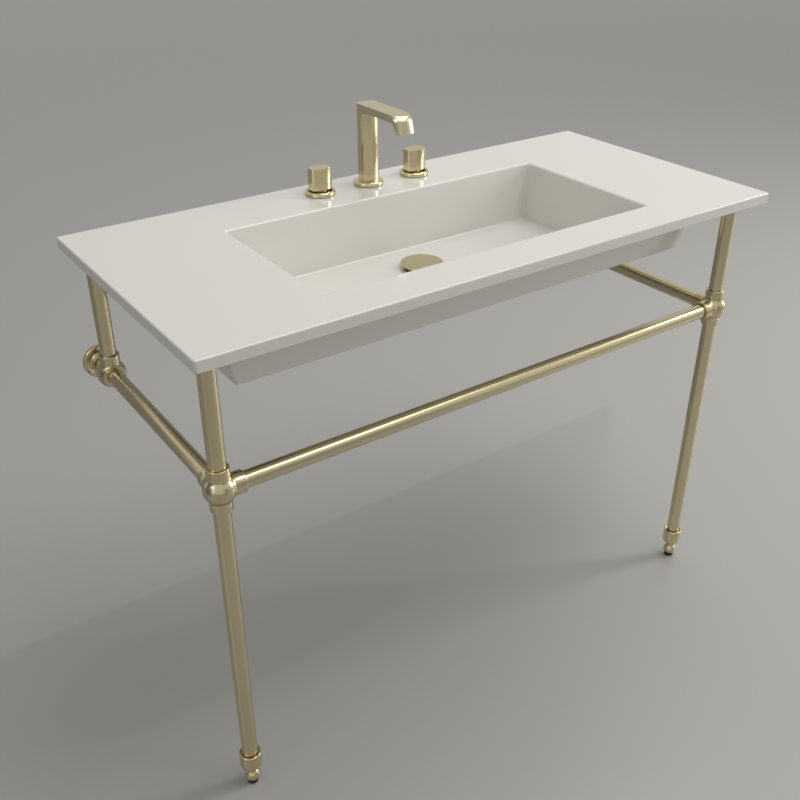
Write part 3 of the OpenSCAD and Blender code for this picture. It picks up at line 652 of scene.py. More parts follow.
def wear_group() -> NodeTree:
    """Builds a mask of edges that hands and cloths have rubbed.

    Returns:
        A group that puts out the mask, from 0 to 1.
    """
    group = Group("Rubbed edges", {"Amount": 0.5, "Break scale": 120.0}, {"Mask": "NodeSocketFloat"})
    shape = group.add("ShaderNodeNewGeometry")
    edge = group.add(
        "ShaderNodeMapRange",
        {"Value": shape.outputs["Pointiness"]},
        inputs={"From Min": 0.52, "From Max": 0.62, "To Min": 0.0, "To Max": 1.0},
    )
    place_node = group.add("ShaderNodeTexCoord")
    breaks = group.noise(place_node.outputs["Object"], group.inputs["Break scale"], Detail=5.0)
    broken = group.add("ShaderNodeMath", {0: edge.outputs[0], 1: breaks}, operation="MULTIPLY")
    amount = group.add(
        "ShaderNodeMath", {0: broken.outputs[0], 1: group.inputs["Amount"]},
        operation="MULTIPLY", use_clamp=True,
    )
    group.put_out("Mask", amount.outputs[0])
    return group.tree


def ripple_group() -> NodeTree:
    """Builds the slow ripple and the pinholes of a fired glaze.

    Returns:
        A group that puts out the ripple's height, a speck mask and a slow tint mask.
    """
    group = Group(
        "Fired glaze",
        {"Ripple scale": 28.0, "Speck scale": 260.0},
        {"Height": "NodeSocketFloat", "Specks": "NodeSocketFloat", "Tint": "NodeSocketFloat"},
    )
    place_node = group.add("ShaderNodeTexCoord")
    ripple = group.noise(
        place_node.outputs["Object"], group.inputs["Ripple scale"], Detail=1.0, Roughness=0.4
    )
    cells = group.add(
        "ShaderNodeTexVoronoi",
        {"Vector": place_node.outputs["Object"], "Scale": group.inputs["Speck scale"]},
        feature="F1",
    )
    specks = group.add(
        "ShaderNodeMapRange",
        {"Value": cells.outputs["Distance"]},
        inputs={"From Min": 0.03, "From Max": 0.07, "To Min": 1.0, "To Max": 0.0},
    )
    tint = group.add(
        "ShaderNodeTexNoise", {"Vector": place_node.outputs["Object"]},
        inputs={"Scale": 3.5, "Detail": 3.0},
    )
    group.put_out("Height", ripple)
    group.put_out("Specks", specks.outputs[0])
    group.put_out("Tint", tint.outputs["Fac"])
    return group.tree


# Finishes


@dataclass
class Shop:
    """The shared shader groups that the finishes draw on."""

    grain: NodeTree = field(default_factory=grain_group)
    wear: NodeTree = field(default_factory=wear_group)
    ripple: NodeTree = field(default_factory=ripple_group)


@dataclass
class Surface:
    """A material with a Principled BSDF."""

    name: str

    def __post_init__(self) -> None:
        """Makes the material."""
        self.material = bpy.data.materials.new(self.name)
        self.material.use_nodes = True
        self.tree = self.material.node_tree
        self.shader = self.tree.nodes["Principled BSDF"]

    def group(self, group: NodeTree, **values: float) -> Node:
        """Adds a shared group, with its values by name and underscores for spaces."""
        inputs = {key.replace("_", " "): value for key, value in values.items()}
        return add_node(self.tree, "ShaderNodeGroup", node_tree=group, inputs=inputs)

    def dress(self, color: Socket, rough: Node, height: Socket, strength: float, depth: float) -> Material:
        """Feeds the shader.

        Args:
            color: gives the base colour.
            rough: the node that gives the roughness.
            height: gives the height of the fine bump.
            strength: how strong the bump is.
            depth: how deep the bump is, in metres.

        Returns:
            The material.
        """
        bump = add_node(
            self.tree, "ShaderNodeBump", {"Height": height},
            inputs={"Strength": strength, "Distance": depth},
        )
        links = {"Base Color": color, "Roughness": rough.outputs[0], "Normal": bump.outputs[0]}
        for key, socket in links.items():
            self.tree.links.new(socket, self.shader.inputs[key])
        return self.material

    def set_inputs(self, **values: float | Color) -> None:
        """Sets inputs of the shader by name, with underscores for spaces."""
        for key, value in values.items():
            self.shader.inputs[key.replace("_", " ")].default_value = value


@dataclass(frozen=True)
class MetalFinish:
    """A metal with a fine grain, slow patches and rubbed edges."""

    name: str
    dark: Color
    light: Color
    rubbed: Color
    rough_low: float
    rough_high: float
    grain_scale: float
    stretch: float
    grain_depth: float
    wear: float
    patch_scale: float = 11.0
    break_scale: float = 140.0
    grain_low: float = 0.25
    grain_high: float = 0.75
    bump: float = 0.25

    def build(self, shop: Shop) -> Material:
        """Makes the material.

        Args:
            shop: the shared shader groups.

        Returns:
            The material.
        """
        surface = Surface(self.name)
        tree = surface.tree
        grain = surface.group(
            shop.grain, Grain_scale=self.grain_scale, Stretch=self.stretch, Patch_scale=self.patch_scale
        )
        worn = surface.group(shop.wear, Amount=self.wear, Break_scale=self.break_scale)
        tone = mixed(tree, grain.outputs["Patches"], self.dark, self.light)
        color = mixed(tree, worn.outputs["Mask"], tone, self.rubbed)
        rough = add_node(
            tree, "ShaderNodeMapRange", {"Value": grain.outputs["Grain"]},
            inputs={
                "From Min": self.grain_low, "From Max": self.grain_high,
                "To Min": self.rough_low, "To Max": self.rough_high,
            },
        )
        surface.set_inputs(Metallic=1.0)
        return surface.dress(color, rough, grain.outputs["Grain"], self.bump, self.grain_depth)


@dataclass(frozen=True)
class GlazeFinish:
    """A white glaze fired over fireclay: deep gloss, a slow ripple and a few pinholes."""

    name: str = "Glaze"
    white: Color = (0.78, 0.775, 0.722, 1.0)
    warm: Color = (0.755, 0.747, 0.69, 1.0)
    pinhole: Color = (0.56, 0.53, 0.47, 1.0)
    pinhole_share: float = 0.35
    ripple_scale: float = 26.0
    speck_scale: float = 55.0
    rough_low: float = 0.07
    rough_high: float = 0.15
    ripple_depth: float = 0.0006
    bump: float = 0.12
    ior: float = 1.52
    coat: float = 0.5
    coat_rough: float = 0.04

    def build(self, shop: Shop) -> Material:
        """Makes the material.

        Args:
            shop: the shared shader groups.

        Returns:
            The material.
        """
        surface = Surface(self.name)
        tree = surface.tree
        fired = surface.group(shop.ripple, Ripple_scale=self.ripple_scale, Speck_scale=self.speck_scale)
        tone = mixed(tree, fired.outputs["Tint"], self.white, self.warm)
        speck = add_node(
            tree, "ShaderNodeMath", {0: fired.outputs["Specks"]}, operation="MULTIPLY",
            inputs={1: self.pinhole_share},
        )
        color = mixed(tree, speck.outputs[0], tone, self.pinhole)
        rough = add_node(
            tree, "ShaderNodeMapRange", {"Value": fired.outputs["Tint"]},
            inputs={"To Min": self.rough_low, "To Max": self.rough_high},
        )
        surface.set_inputs(IOR=self.ior, Coat_Weight=self.coat, Coat_Roughness=self.coat_rough)
        return surface.dress(color, rough, fired.outputs["Height"], self.bump, self.ripple_depth)


@dataclass(frozen=True)
class MatteFinish:
    """A dull surface with a fine tooth, such as rubber or unglazed clay."""

    name: str
    dark: Color
    light: Color
    roughness: float
    tooth_scale: float
    tooth_depth: float
    patch_scale: float = 18.0
    rough_spread: float = 0.1
    bump: float = 0.5

    def build(self, shop: Shop) -> Material:
        """Makes the material.

        Args:
            shop: the shared shader groups.

        Returns:
            The material.
        """
        surface = Surface(self.name)
        tree = surface.tree
        grain = surface.group(
            shop.grain, Grain_scale=self.tooth_scale, Stretch=1.0, Patch_scale=self.patch_scale
        )
        tone = mixed(tree, grain.outputs["Patches"], self.dark, self.light)
        rough = add_node(
            tree, "ShaderNodeMapRange", {"Value": grain.outputs["Grain"]},
            inputs={
                "To Min": self.roughness - self.rough_spread, "To Max": self.roughness + self.rough_spread
            },
        )
        return surface.dress(tone, rough, grain.outputs["Grain"], self.bump, self.tooth_depth)


SATIN_GOLD = MetalFinish(
    name="Satin gold brass",
    dark=(0.635, 0.552, 0.35, 1.0),
    light=(0.695, 0.612, 0.40, 1.0),
    rubbed=(0.74, 0.66, 0.47, 1.0),
    rough_low=0.19,
    rough_high=0.25,
    grain_scale=1600.0,
    stretch=0.2,
    grain_depth=0.000012,
    wear=0.3,
)
RAW_BRASS = MetalFinish(
    name="Machined brass",
    dark=(0.48, 0.34, 0.13, 1.0),
    light=(0.60, 0.45, 0.19, 1.0),
    rubbed=(0.78, 0.63, 0.35, 1.0),
    rough_low=0.2,
    rough_high=0.42,
    grain_scale=500.0,
    stretch=6.0,
    grain_depth=0.0001,
    wear=0.6,
)
BRUSHED_STEEL = MetalFinish(
    name="Brushed steel",
    dark=(0.44, 0.45, 0.46, 1.0),
    light=(0.56, 0.57, 0.58, 1.0),
    rubbed=(0.72, 0.73, 0.74, 1.0),
    rough_low=0.22,
    rough_high=0.4,
    grain_scale=700.0,
    stretch=5.0,
    grain_depth=0.00008,
    wear=0.5,
)
# Real rubber on the foot pads; on the sunk ring seats under the knobs it is also painted shade for the gap
# there.
BLACK_RUBBER_AND_SHADE = MatteFinish(
    name="Black rubber and shade",
    dark=(0.012, 0.012, 0.013, 1.0),
    light=(0.028, 0.027, 0.027, 1.0),
    roughness=0.7,
    tooth_scale=1400.0,
    tooth_depth=0.0001,
)
BARE_CLAY = MatteFinish(
    name="Unglazed fireclay",
    dark=(0.52, 0.46, 0.37, 1.0),
    light=(0.66, 0.60, 0.50, 1.0),
    roughness=0.88,
    tooth_scale=800.0,
    tooth_depth=0.0003,
)


class Finishes:
    """All materials of the sink, by the record's slots."""

    def __init__(self) -> None:
        """Builds the materials from the shared groups."""
        shop = Shop()
        self.bare_clay = BARE_CLAY.build(shop)
        self.by_slot: dict[str, Material] = {
            "glaze": GlazeFinish().build(shop),
            "satin_gold": SATIN_GOLD.build(shop),
            "raw_brass": RAW_BRASS.build(shop),
            "steel": BRUSHED_STEEL.build(shop),
            "black_rubber": BLACK_RUBBER_AND_SHADE.build(shop),
        }

    def dress_nodes(self) -> None:
        """Gives every CAD node the material of its slot in the record."""
        for part in frame["record"]["subparts"]:
            node = frame["nodes"][part["node"]]
            material = self.by_slot[part["material_slot"]]
            if not node.material_slots:
                node.data.materials.append(material)
            for slot in node.material_slots:
                slot.material = material

    def publish(self, piece: Object, body: str, slot: str, *nodes: str) -> None:
        """Gives a piece its slot's material, where it has none yet, and hands it to the frame.

        Args:
            piece: the finished mesh.
            body: the CAD body that it moves with.
            slot: the record's material slot of its finish.
            nodes: the CAD nodes that it stands for.
        """
        if not any(piece.data.materials):
            piece.data.materials.clear()
            piece.data.materials.append(self.by_slot[slot])
        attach(piece, body)
        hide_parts(*nodes)
        log.info("%s: %d faces, on %s", piece.name, len(piece.data.polygons), body)


# Basin


@dataclass
class Basin:
    """The fireclay basin: a flat deck, one long bowl and a slanting apron, hollow below."""

    finishes: Finishes
    width: float = 1100.0
    depth: float = 510.0
    top: float = 830.0
    slab: float = 19.0
    corner: float = 4.0
    edge: float = 2.8
    edge_under: float = 1.96
    smooth_angle: float = 28.0
    flat_weight: int = 60
    apron: float = 95.0
    apron_half: float = 451.0
    apron_front: float = 150.0
    side_lean: float = 0.236
    front_lean: float = 0.203
    straight: float = 36.0
    cove: float = 17.0
    cove_steps: int = 8
    apron_wall: float = 12.0
    apron_corner: float = 1.8
    apron_foot: float = 1.2
    bowl_half: float = 321.0
    bowl_front: float = -177.0
    bowl_back: float = 125.0
    bowl_depth: float = 101.0
    side_draft: float = 11.0
    front_draft: float = 48.0
    back_draft: float = 8.0
    bowl_wall: float = 10.0
    bowl_corner: float = 4.0
    foot_round: float = 4.5
    rim_round: float = 3.6
    round_steps: int = 6
    floor_columns: int = 24
    floor_rows: int = 14
    floor_reach: float = 392.0
    floor_fall: float = 5.49
    drain_y: float = 30.0
    lip_r: float = 33.1
    lip_z: float = 721.5
    sleeve_r: float = 22.0
    tap_pitch: float = 101.6
    tap_y: float = 195.0
    tap_hole_r: float = 17.5
    bolt_x: float = 140.0
    bolt_z: float = 770.0
    bolt_hole_r: float = 7.0
    rib_front: float = -21.0
    rib_back: float = -9.0
    rib_x: float = 315.0
    rib: float = 12.0
    bay_round: float = 6.0
    clear: float = 5.0
    lip_clear: float = 15.0
    bolt_reach: float = 20.0
    foot_skin: float = 0.2

    def under(self) -> float:
        """Returns the height of the deck's underside."""
        return self.top - self.slab

    def foot(self) -> float:
        """Returns the height of the apron's bottom edge."""
        return self.under() - self.apron

    def rise(self, inset: float) -> list[tuple[float, float, float]]:
        """Lists the apron's heights with its half-width and front there.

        Args:
            inset: how far the faces are drawn in.

        Returns:
            Height above the foot, half-width and distance of the front from the middle.
        """
        rows = [(0.0, self.apron_half - inset, self.apron_front - inset)]
        for k in range(self.cove_steps + 1):
            share = k / self.cove_steps
            height = self.straight + (self.apron - self.straight) * share
            flare = self.cove * share**2
            rows.append((
                height,
                self.apron_half - inset + self.side_lean * height + flare,
                self.apron_front - inset + self.front_lean * height + flare,
            ))
        return rows

    def bowl_sides(self, z: float) -> tuple[float, float, float]:
        """Returns the bowl's half-width, front and back at a height."""
        down = (self.top - z) / self.bowl_depth
        return (
            self.bowl_half - self.side_draft * down,
            self.bowl_front + self.front_draft * down,
            self.bowl_back - self.back_draft * down,
        )

    def slab_solid(self) -> Object:
        """Returns the deck's slab with its round corners and softened edges."""
        half, deep = self.width / 2, self.depth / 2
        slab = stacked("basin", [
            Level(self.under(), -half, half, -deep, deep), Level(self.top, -half, half, -deep, deep),
        ])
        round_off(slab, lambda a, b: abs(a.z - b.z) > UPRIGHT, self.corner, 6)
        round_off(slab, lambda a, b: min(a.z, b.z) > self.top - SNAP, self.edge, 4)
        round_off(slab, lambda a, b: max(a.z, b.z) < self.under() + SNAP, self.edge_under, 3)
        return slab

    def apron_solid(self) -> Object:
        """Returns the solid block of the apron, which ends inside the slab."""
        back = self.depth / 2
        rows = self.rise(0)
        levels = [Level(self.foot() + h, -half, half, -front, back) for h, half, front in rows]
        levels.append(replace(levels[-1], z=self.under() + self.slab / 2))
        apron = stacked("apron", levels)
        round_off(apron, lambda a, b: abs(a.z - b.z) > UPRIGHT and a.y < 0, self.apron_corner, 6)
        low = self.foot() + SNAP
        round_off(
            apron, lambda a, b: max(a.z, b.z) < low and min(a.y, b.y) < back - SNAP, self.apron_foot
        )
        return apron

    def bowl_level(self, z: float, grow: float) -> Level:
        """Returns the bowl's rectangle at a height, made wider by grow on each side."""
        half, front, back = self.bowl_sides(z)
        return Level(z, -half - grow, half + grow, front - grow, back + grow)

    def bowl_tool(self) -> Object:
        """Returns the solid that cuts the bowl, with its round corners, foot and rim."""
        floor = self.top - self.bowl_depth
        turns = [math.radians(90 * k / self.round_steps) for k in range(self.round_steps + 1)]
        foot, rim = self.foot_round, self.rim_round
        levels = [
            self.bowl_level(floor + foot * (1 - math.cos(turn)), -foot * (1 - math.sin(turn)))
            for turn in turns
        ]
        levels += [
            self.bowl_level(self.top - rim * (1 - math.sin(turn)), rim * (1 - math.cos(turn)))
            for turn in turns
        ]
        levels.append(replace(levels[-1], z=self.top + self.clear))
        tool = stacked("bowl", levels)
        round_off(tool, lambda a, b: abs(a.z - b.z) > SNAP / 10, self.bowl_corner, 6)
        self.slope_floor(tool, floor)
        return tool

    def slope_floor(self, tool: Object, floor: float) -> None:
        """Divides the bowl's floor into a grid and lowers it to a shallow cone around the drain.

        Args:
            tool: the solid that cuts the bowl.
            floor: the height of its flat floor.
        """
        half, front, back = self.bowl_sides(floor)
        columns, rows = self.floor_columns, self.floor_rows
        cuts = [((x * half / columns, 0, 0), (1, 0, 0)) for x in range(-columns + 1, columns, 2)]
        cuts.append(((0, 0, 0), (1, 0, 0)))
        cuts += [((0, front + (back - front) * k / rows, 0), (0, 1, 0)) for k in range(1, rows)]
        cuts.append(((0, self.drain_y, 0), (0, 1, 0)))
        for at, normal in cuts:
            choose(tool, "FACE", lambda centre, way: centre.z < floor + SNAP and way.z < 0)
            bpy.ops.mesh.bisect(plane_co=metres(at), plane_no=normal)
        choose(tool, "VERT", lambda point: point.z < floor + self.foot_round - SNAP)
        bpy.ops.mesh.hide(unselected=True)
        close_mesh()
        drain = Vector((0, self.drain_y, floor))
        for vertex in tool.data.vertices:
            vertex.select = (vertex.co / MM - drain).length < SNAP
        bpy.ops.object.mode_set(mode="EDIT")
        bpy.ops.transform.translate(
            value=(0, 0, -self.floor_fall * MM),
            use_proportional_edit=True,
            proportional_edit_falloff="LINEAR",
            proportional_size=self.floor_reach * MM,
        )
        bpy.ops.mesh.reveal(select=False)
        face_outwards()

    def side_bay(self, side: Side, rear: bool) -> Object:
        """Returns the solid that cuts one bay beside the bowl.

        Args:
            side: the side of the sink.
            rear: whether it is the bay behind the side rib.

        Returns:
            The cutting solid.
        """
        inner = self.rib_x + self.rib
        levels = []
        rows = self.rise(self.apron_wall)
        for height, half, front in [(-self.clear, *rows[0][1:])] + rows:
            z = self.foot() + height
            near = max(inner, self.bowl_sides(z)[0] + self.bowl_wall)
            left, right = (near, half) if side is Side.RIGHT else (-half, -near)
            if rear:
                levels.append(Level(z, left, right, self.rib_back, self.depth / 2 - self.apron_wall))
            else:
                levels.append(Level(z, left, right, -front, self.rib_front))
        return self.rounded_bay(levels)

    def back_bay(self) -> Object:
        """Returns the solid that cuts the bay behind the bowl, below the faucet."""
        levels = []
        for height in (-self.clear, self.apron):
            z = self.foot() + height
            front = self.bowl_sides(z)[2] + self.bowl_wall
            levels.append(Level(z, -self.rib_x, self.rib_x, front, self.depth / 2 - self.apron_wall))
        return self.rounded_bay(levels)

    def rounded_bay(self, levels: Sequence[Level]) -> Object:
        """Returns a bay's cutting solid with cast fillets, faced with bare clay."""
        bay = stacked("bay", levels)
        top = levels[-1].z
        round_off(bay, lambda a, b: abs(a.z - b.z) > UPRIGHT, self.bay_round)
        round_off(bay, lambda a, b: min(a.z, b.z) > top - SNAP, self.bay_round)
        self.face_with(bay, 1)
        return bay

    def face_with(self, piece: Object, index: int) -> None:
        """Gives a solid the basin's two materials and faces it with one of them."""
        piece.data.materials.append(self.finishes.by_slot["glaze"])
        piece.data.materials.append(self.finishes.bare_clay)
        for face in piece.data.polygons:
            face.material_index = index

    def build(self) -> None:
        """Builds the basin and hands it to the frame."""
        basin = self.slab_solid()
        self.face_with(basin, 0)
        combine(basin, self.apron_solid(), Meet.JOIN)
        for side in Side:
            for rear in (False, True):
                combine(basin, self.side_bay(side, rear), Meet.CUT)
        combine(basin, self.back_bay(), Meet.CUT)
        combine(basin, self.bowl_tool(), Meet.CUT)
        low, high = self.foot() - self.clear, self.top + self.clear
        drain = stepped(low, (self.sleeve_r, self.lip_z), (self.lip_r, self.lip_z + self.lip_clear))
        drill(basin, drain, (0, self.drain_y, 0))
        for x in (-self.tap_pitch, 0.0, self.tap_pitch):
            hole = stepped(self.under() - self.clear, (self.tap_hole_r, high))
            drill(basin, hole, (x, self.tap_y, 0))
        for side in Side:
            at = (side.value * self.bolt_x, self.depth / 2, self.bolt_z)
            hole = stepped(-self.bolt_reach, (self.bolt_hole_r, self.bolt_reach))
            drill(basin, hole, at, Facing.WALL, FINE_STEPS)
        for face in basin.data.polygons:
            if face.center.z / MM < self.foot() + self.foot_skin:
                face.material_index = 1
        smooth(basin, self.smooth_angle)
        applied(basin, "WEIGHTED_NORMAL", keep_sharp=True, weight=self.flat_weight)
        self.finishes.publish(basin, "sink", "glaze", "basin")


# Faucet


@dataclass
class Faucet:
    """The spout, the two knobs and the three rings on the deck."""

    finishes: Finishes
    y: float = 195.0
    pitch: float = 101.6
    ring_z: float = 831.0
    ring_h: float = 7.0
    ring_r: float = 27.0
    ring_bore: float = 14.1
    ring_dip: float = 1.4
    ring_dip_r: float = 21.4
    ring_chamfer: float = 0.6
    knob_z: float = 840.0
    knob_h: float = 38.0
    knob_plan: Bulge = Bulge(19.7, 14.4, 8.0, 0.9)
    knob_edge: float = 0.5
    knob_deep: float = 30.0
    bonnet_r: float = 12.4
    bonnet_top: float = 847.4
    stem_r: float = 4.05
    stem_top: float = 870.3
    screw_z: float = 854.0
    screw_r: float = 2.1
    screw_steps: int = 32
    spout_edge: float = 0.6
    plan: Bulge = Bulge(18.0, 14.2, 8.5, 3.0)
    top: float = 974.0
    arm_t: float = 12.3
    reach: float = 123.0
    bend_r: float = 16.0
    bend: float = 72.0
    lip_drop: float = 28.5
    lip_t: float = 2.8
    arch_reach: float = 23.5
    arch_h: float = 16.0
    lip_step: float = 10.0
    neck_r: float = 9.1
    neck_top: float = 860.0
    channel_half: float = 9.0
    channel_h: float = 5.5
    water_r: float = 6.0
    aerator_r: float = 8.1
    aerator_y: float = 92.0
    aerator_h: float = 6.5
    aerator_flare: float = 1.2
    aerator_bevel: float = 1.0
    clear: float = 2.0

    def column(self) -> Object:
        """Returns the spout's column, from the ring to inside the arm."""
        z = self.ring_z + self.ring_h
        points = [(x, y, z) for x, y in stretched(self.plan.quarter(), 0)]
        return extruded("spout_body", points, (0, 0, self.top - self.arm_t / 2 - z))

    def lip(self) -> list[Flat]:
        """Lists the outer side of the bend and the lip, at the arm's middle."""
        turn = math.radians(self.bend)
        drop = self.bend_r * (1 - math.cos(turn))
        bend_y = self.reach - self.bend_r * math.sin(turn) - (self.lip_drop - drop) / math.tan(turn)
        bend = arc((-bend_y, -self.bend_r), self.bend_r, 90, 90 + self.bend, 14)
        return bend + [(-self.reach, -self.lip_drop)]

    def arm(self) -> Object:
        """Returns the arm with its bend, lip and arch, bulging at both ends as the column does."""
        quarter = [(x, y) for x, y in self.plan.quarter() if y > 0]
        side = quarter[-1][1]
        under, inner = -self.arm_t, self.lip_t - self.reach + self.plan.deep - side
        slope = math.tan(math.radians(self.bend - self.lip_step))
        lip, back = self.lip(), [(self.plan.deep, under - self.arch_h), (self.plan.deep, 0.0)]
        profile = back + lip + [(inner, -self.lip_drop), (inner + (self.lip_drop + under) / slope, under)]
        profile += [
            ((self.arch_reach - side) * y - side, self.arch_h * z + under)
            for y, z in arc((-1, -1), 1, 90, 0, 12)
        ]
        slices = [(-x, self.plan.deep - y) for x, y in reversed(quarter)]
        slices += [(x, self.plan.deep - y) for x, y in quarter[1:]]
        arm = trace("arm", [(slices[0][0], y, z) for y, z in profile])
        bpy.ops.mesh.edge_face_add()
        for (here, _), (there, _) in zip(slices, slices[1:]):
            step = metres((there - here, 0, 0))
            bpy.ops.mesh.extrude_region_move(TRANSFORM_OT_translate={"value": step})
        close_mesh()
        for x, shift in slices:
            for ends, way in ((lip, 1), (back, -1)):
                choose(arm, "VERT", lambda at: abs(at.x - x) < SNAP and any(
                    math.dist((at.y, at.z), end) < SNAP for end in ends
                ))
                bpy.ops.transform.translate(value=metres((0, way * shift, 0)))
                close_mesh()
        open_mesh(arm)
        face_outwards()
        return place(arm, (0, 0, self.top))

    def spout(self) -> None:
        """Builds the spout and hands it to the frame."""
        spout = self.column()
        combine(spout, self.arm(), Meet.JOIN)
        low = self.top - (self.arm_t + self.channel_h) / 2
        high = low + self.channel_h
        foot = self.ring_z + self.ring_h - self.clear
        bore = stepped(foot, (self.neck_r, self.neck_top), (self.water_r, high))
        drill(spout, bore, steps=FINE_STEPS)
        half = self.channel_half
        levels = [Level(z, -half, half, -self.aerator_y, 0) for z in (low, high)]
        combine(spout, stacked("channel", levels), Meet.CUT)
        under, r = self.top - self.arm_t, self.aerator_r
        low, high, wide = under - self.clear, under + self.aerator_h, r + self.aerator_flare
        drill(spout, [
            (0, low), (wide, low), (wide, under - SNAP),
            (r, under + self.aerator_bevel), (r, high), (0, high),
        ], (0, -self.aerator_y, 0), steps=MID_STEPS)
        place(spout, (0, self.y, 0))
        soften(spout, self.spout_edge)
        self.finishes.publish(spout, "sink", "satin_gold", "spout_body")

    def knob(self) -> Object:
        """Returns one knob around the origin, with the screw hole in its back."""
        outline = stretched(self.knob_plan.quarter(), 0)
        knob = extruded("knob", [(x, y, self.knob_z) for x, y in outline], (0, 0, self.knob_h))
        steps = (self.bonnet_r, self.bonnet_top), (self.stem_r, self.stem_top)
        drill(knob, stepped(self.knob_z - self.clear, *steps))
        hole = stepped(0, (self.screw_r, self.knob_deep))
        drill(knob, hole, (0, 0, self.screw_z), Facing.WALL, self.screw_steps)
        soften(knob, self.knob_edge)
        return knob

    def knobs(self) -> None:
        """Builds both knobs and hands them to the frame."""
        for side, knob in both_sides(self.knob(), ("hot_knob_turned", "cold_knob_turned")):
            body = "hot_knob" if side is Side.LEFT else "cold_knob"
            place(knob, (side.value * self.pitch, self.y, 0))
            self.finishes.publish(knob, body, "satin_gold", body)

    def ring(self, dip: float) -> Object:
        """Returns a ring around the origin, with its top sunk by a depth around what it holds."""
        low, edge = self.ring_z, self.ring_h / 2
        high = low + self.ring_h
        profile = [(self.ring_bore, low), (self.ring_r - self.ring_chamfer, low)]
        profile += arc((self.ring_r - edge, low + edge), edge, 0, 90, 10)
        cut, seat = self.ring_chamfer, high - dip
        if dip > 0:
            profile += [
                (self.ring_dip_r + cut, high), (self.ring_dip_r, high - cut), (self.ring_dip_r, seat)
            ]
        profile += [(self.ring_bore + cut, seat), (self.ring_bore, seat - cut), (self.ring_bore, low)]
        return turned("ring", profile)

    def rings(self) -> None:
        """Builds the three rings on the deck and hands them to the frame as one piece; the sunk seats
        under the knobs are faced black, partly as a dark seat and partly as painted shade.
        """
        first = self.ring(self.ring_dip)
        rings = [self.ring(0.0), first, copied(first, "ring_copy")]
        for ring, x in zip(rings, (0.0, -self.pitch, self.pitch)):
            place(ring, (x, self.y, 0))
        whole = joined("rings_on_deck", rings)
        smooth(whole)
        for slot in ("satin_gold", "black_rubber"):
            whole.data.materials.append(self.finishes.by_slot[slot])
        # Black rubber on the sunk seats under the knobs: a dark seat, and also painted shade standing for
        # the gap under each knob.
        seat = self.ring_z + self.ring_h - self.ring_dip
        for face in whole.data.polygons:
            at = face.center / MM
            away = math.hypot(abs(at.x) - self.pitch, at.y - self.y)
            if away < self.ring_dip_r and at.z > seat - SNAP * 10:
                face.material_index = 1
        self.finishes.publish(whole, "sink", "satin_gold", "deck_rings")

    def build(self) -> None:
        """Builds every piece of the faucet."""
        self.spout()
        self.knobs()
        self.rings()


# Drain


@dataclass
class Drain:
    """The round cap over the drain."""

    finishes: Finishes
    y: float = 30.0
    z: float = 730.5
    r: float = 37.5
    t: float = 4.5
    edge: float = 1.5
    seal_in: float = 23.9
    seal_out: float = 31.1
    seal_deep: float = 0.8
    stem_r: float = 4.1
    stem_deep: float = 2.0
    rim_turn: float = 62.0
    dome_steps: int = 10
    cap_steps: int = 128

    def build(self) -> None:
        """Builds the cap and hands it to the frame."""
        low = self.z
        profile = [
            (0, low + self.stem_deep), (self.stem_r, low + self.stem_deep), (self.stem_r, low),
            (self.seal_in, low), (self.seal_in, low + self.seal_deep),
            (self.seal_out, low + self.seal_deep), (self.seal_out, low),
        ]
        profile += arc((self.r - self.edge, low + self.edge), self.edge, -90, self.rim_turn, 10)
        rim_r, rim_z = profile[-1]
        for k in range(1, self.dome_steps + 1):
            share = k / self.dome_steps
            rise = (low + self.t - rim_z) * (1 - (1 - share) ** 2)
            profile.append((rim_r * (1 - share), rim_z + rise))
        cap = place(turned("drain_cap_turned", profile, self.cap_steps), (0, self.y, 0))
        smooth(cap)
        self.finishes.publish(cap, "drain_plug", "satin_gold", "drain_cap")


# Stand


@dataclass(frozen=True)
class SocketArm:
    """One socket of a fitting: where it points, its reach, radius, seat and an optional groove."""

    facing: Facing
    reach: float
    radius: float
    seat: float
    groove: float | None = None


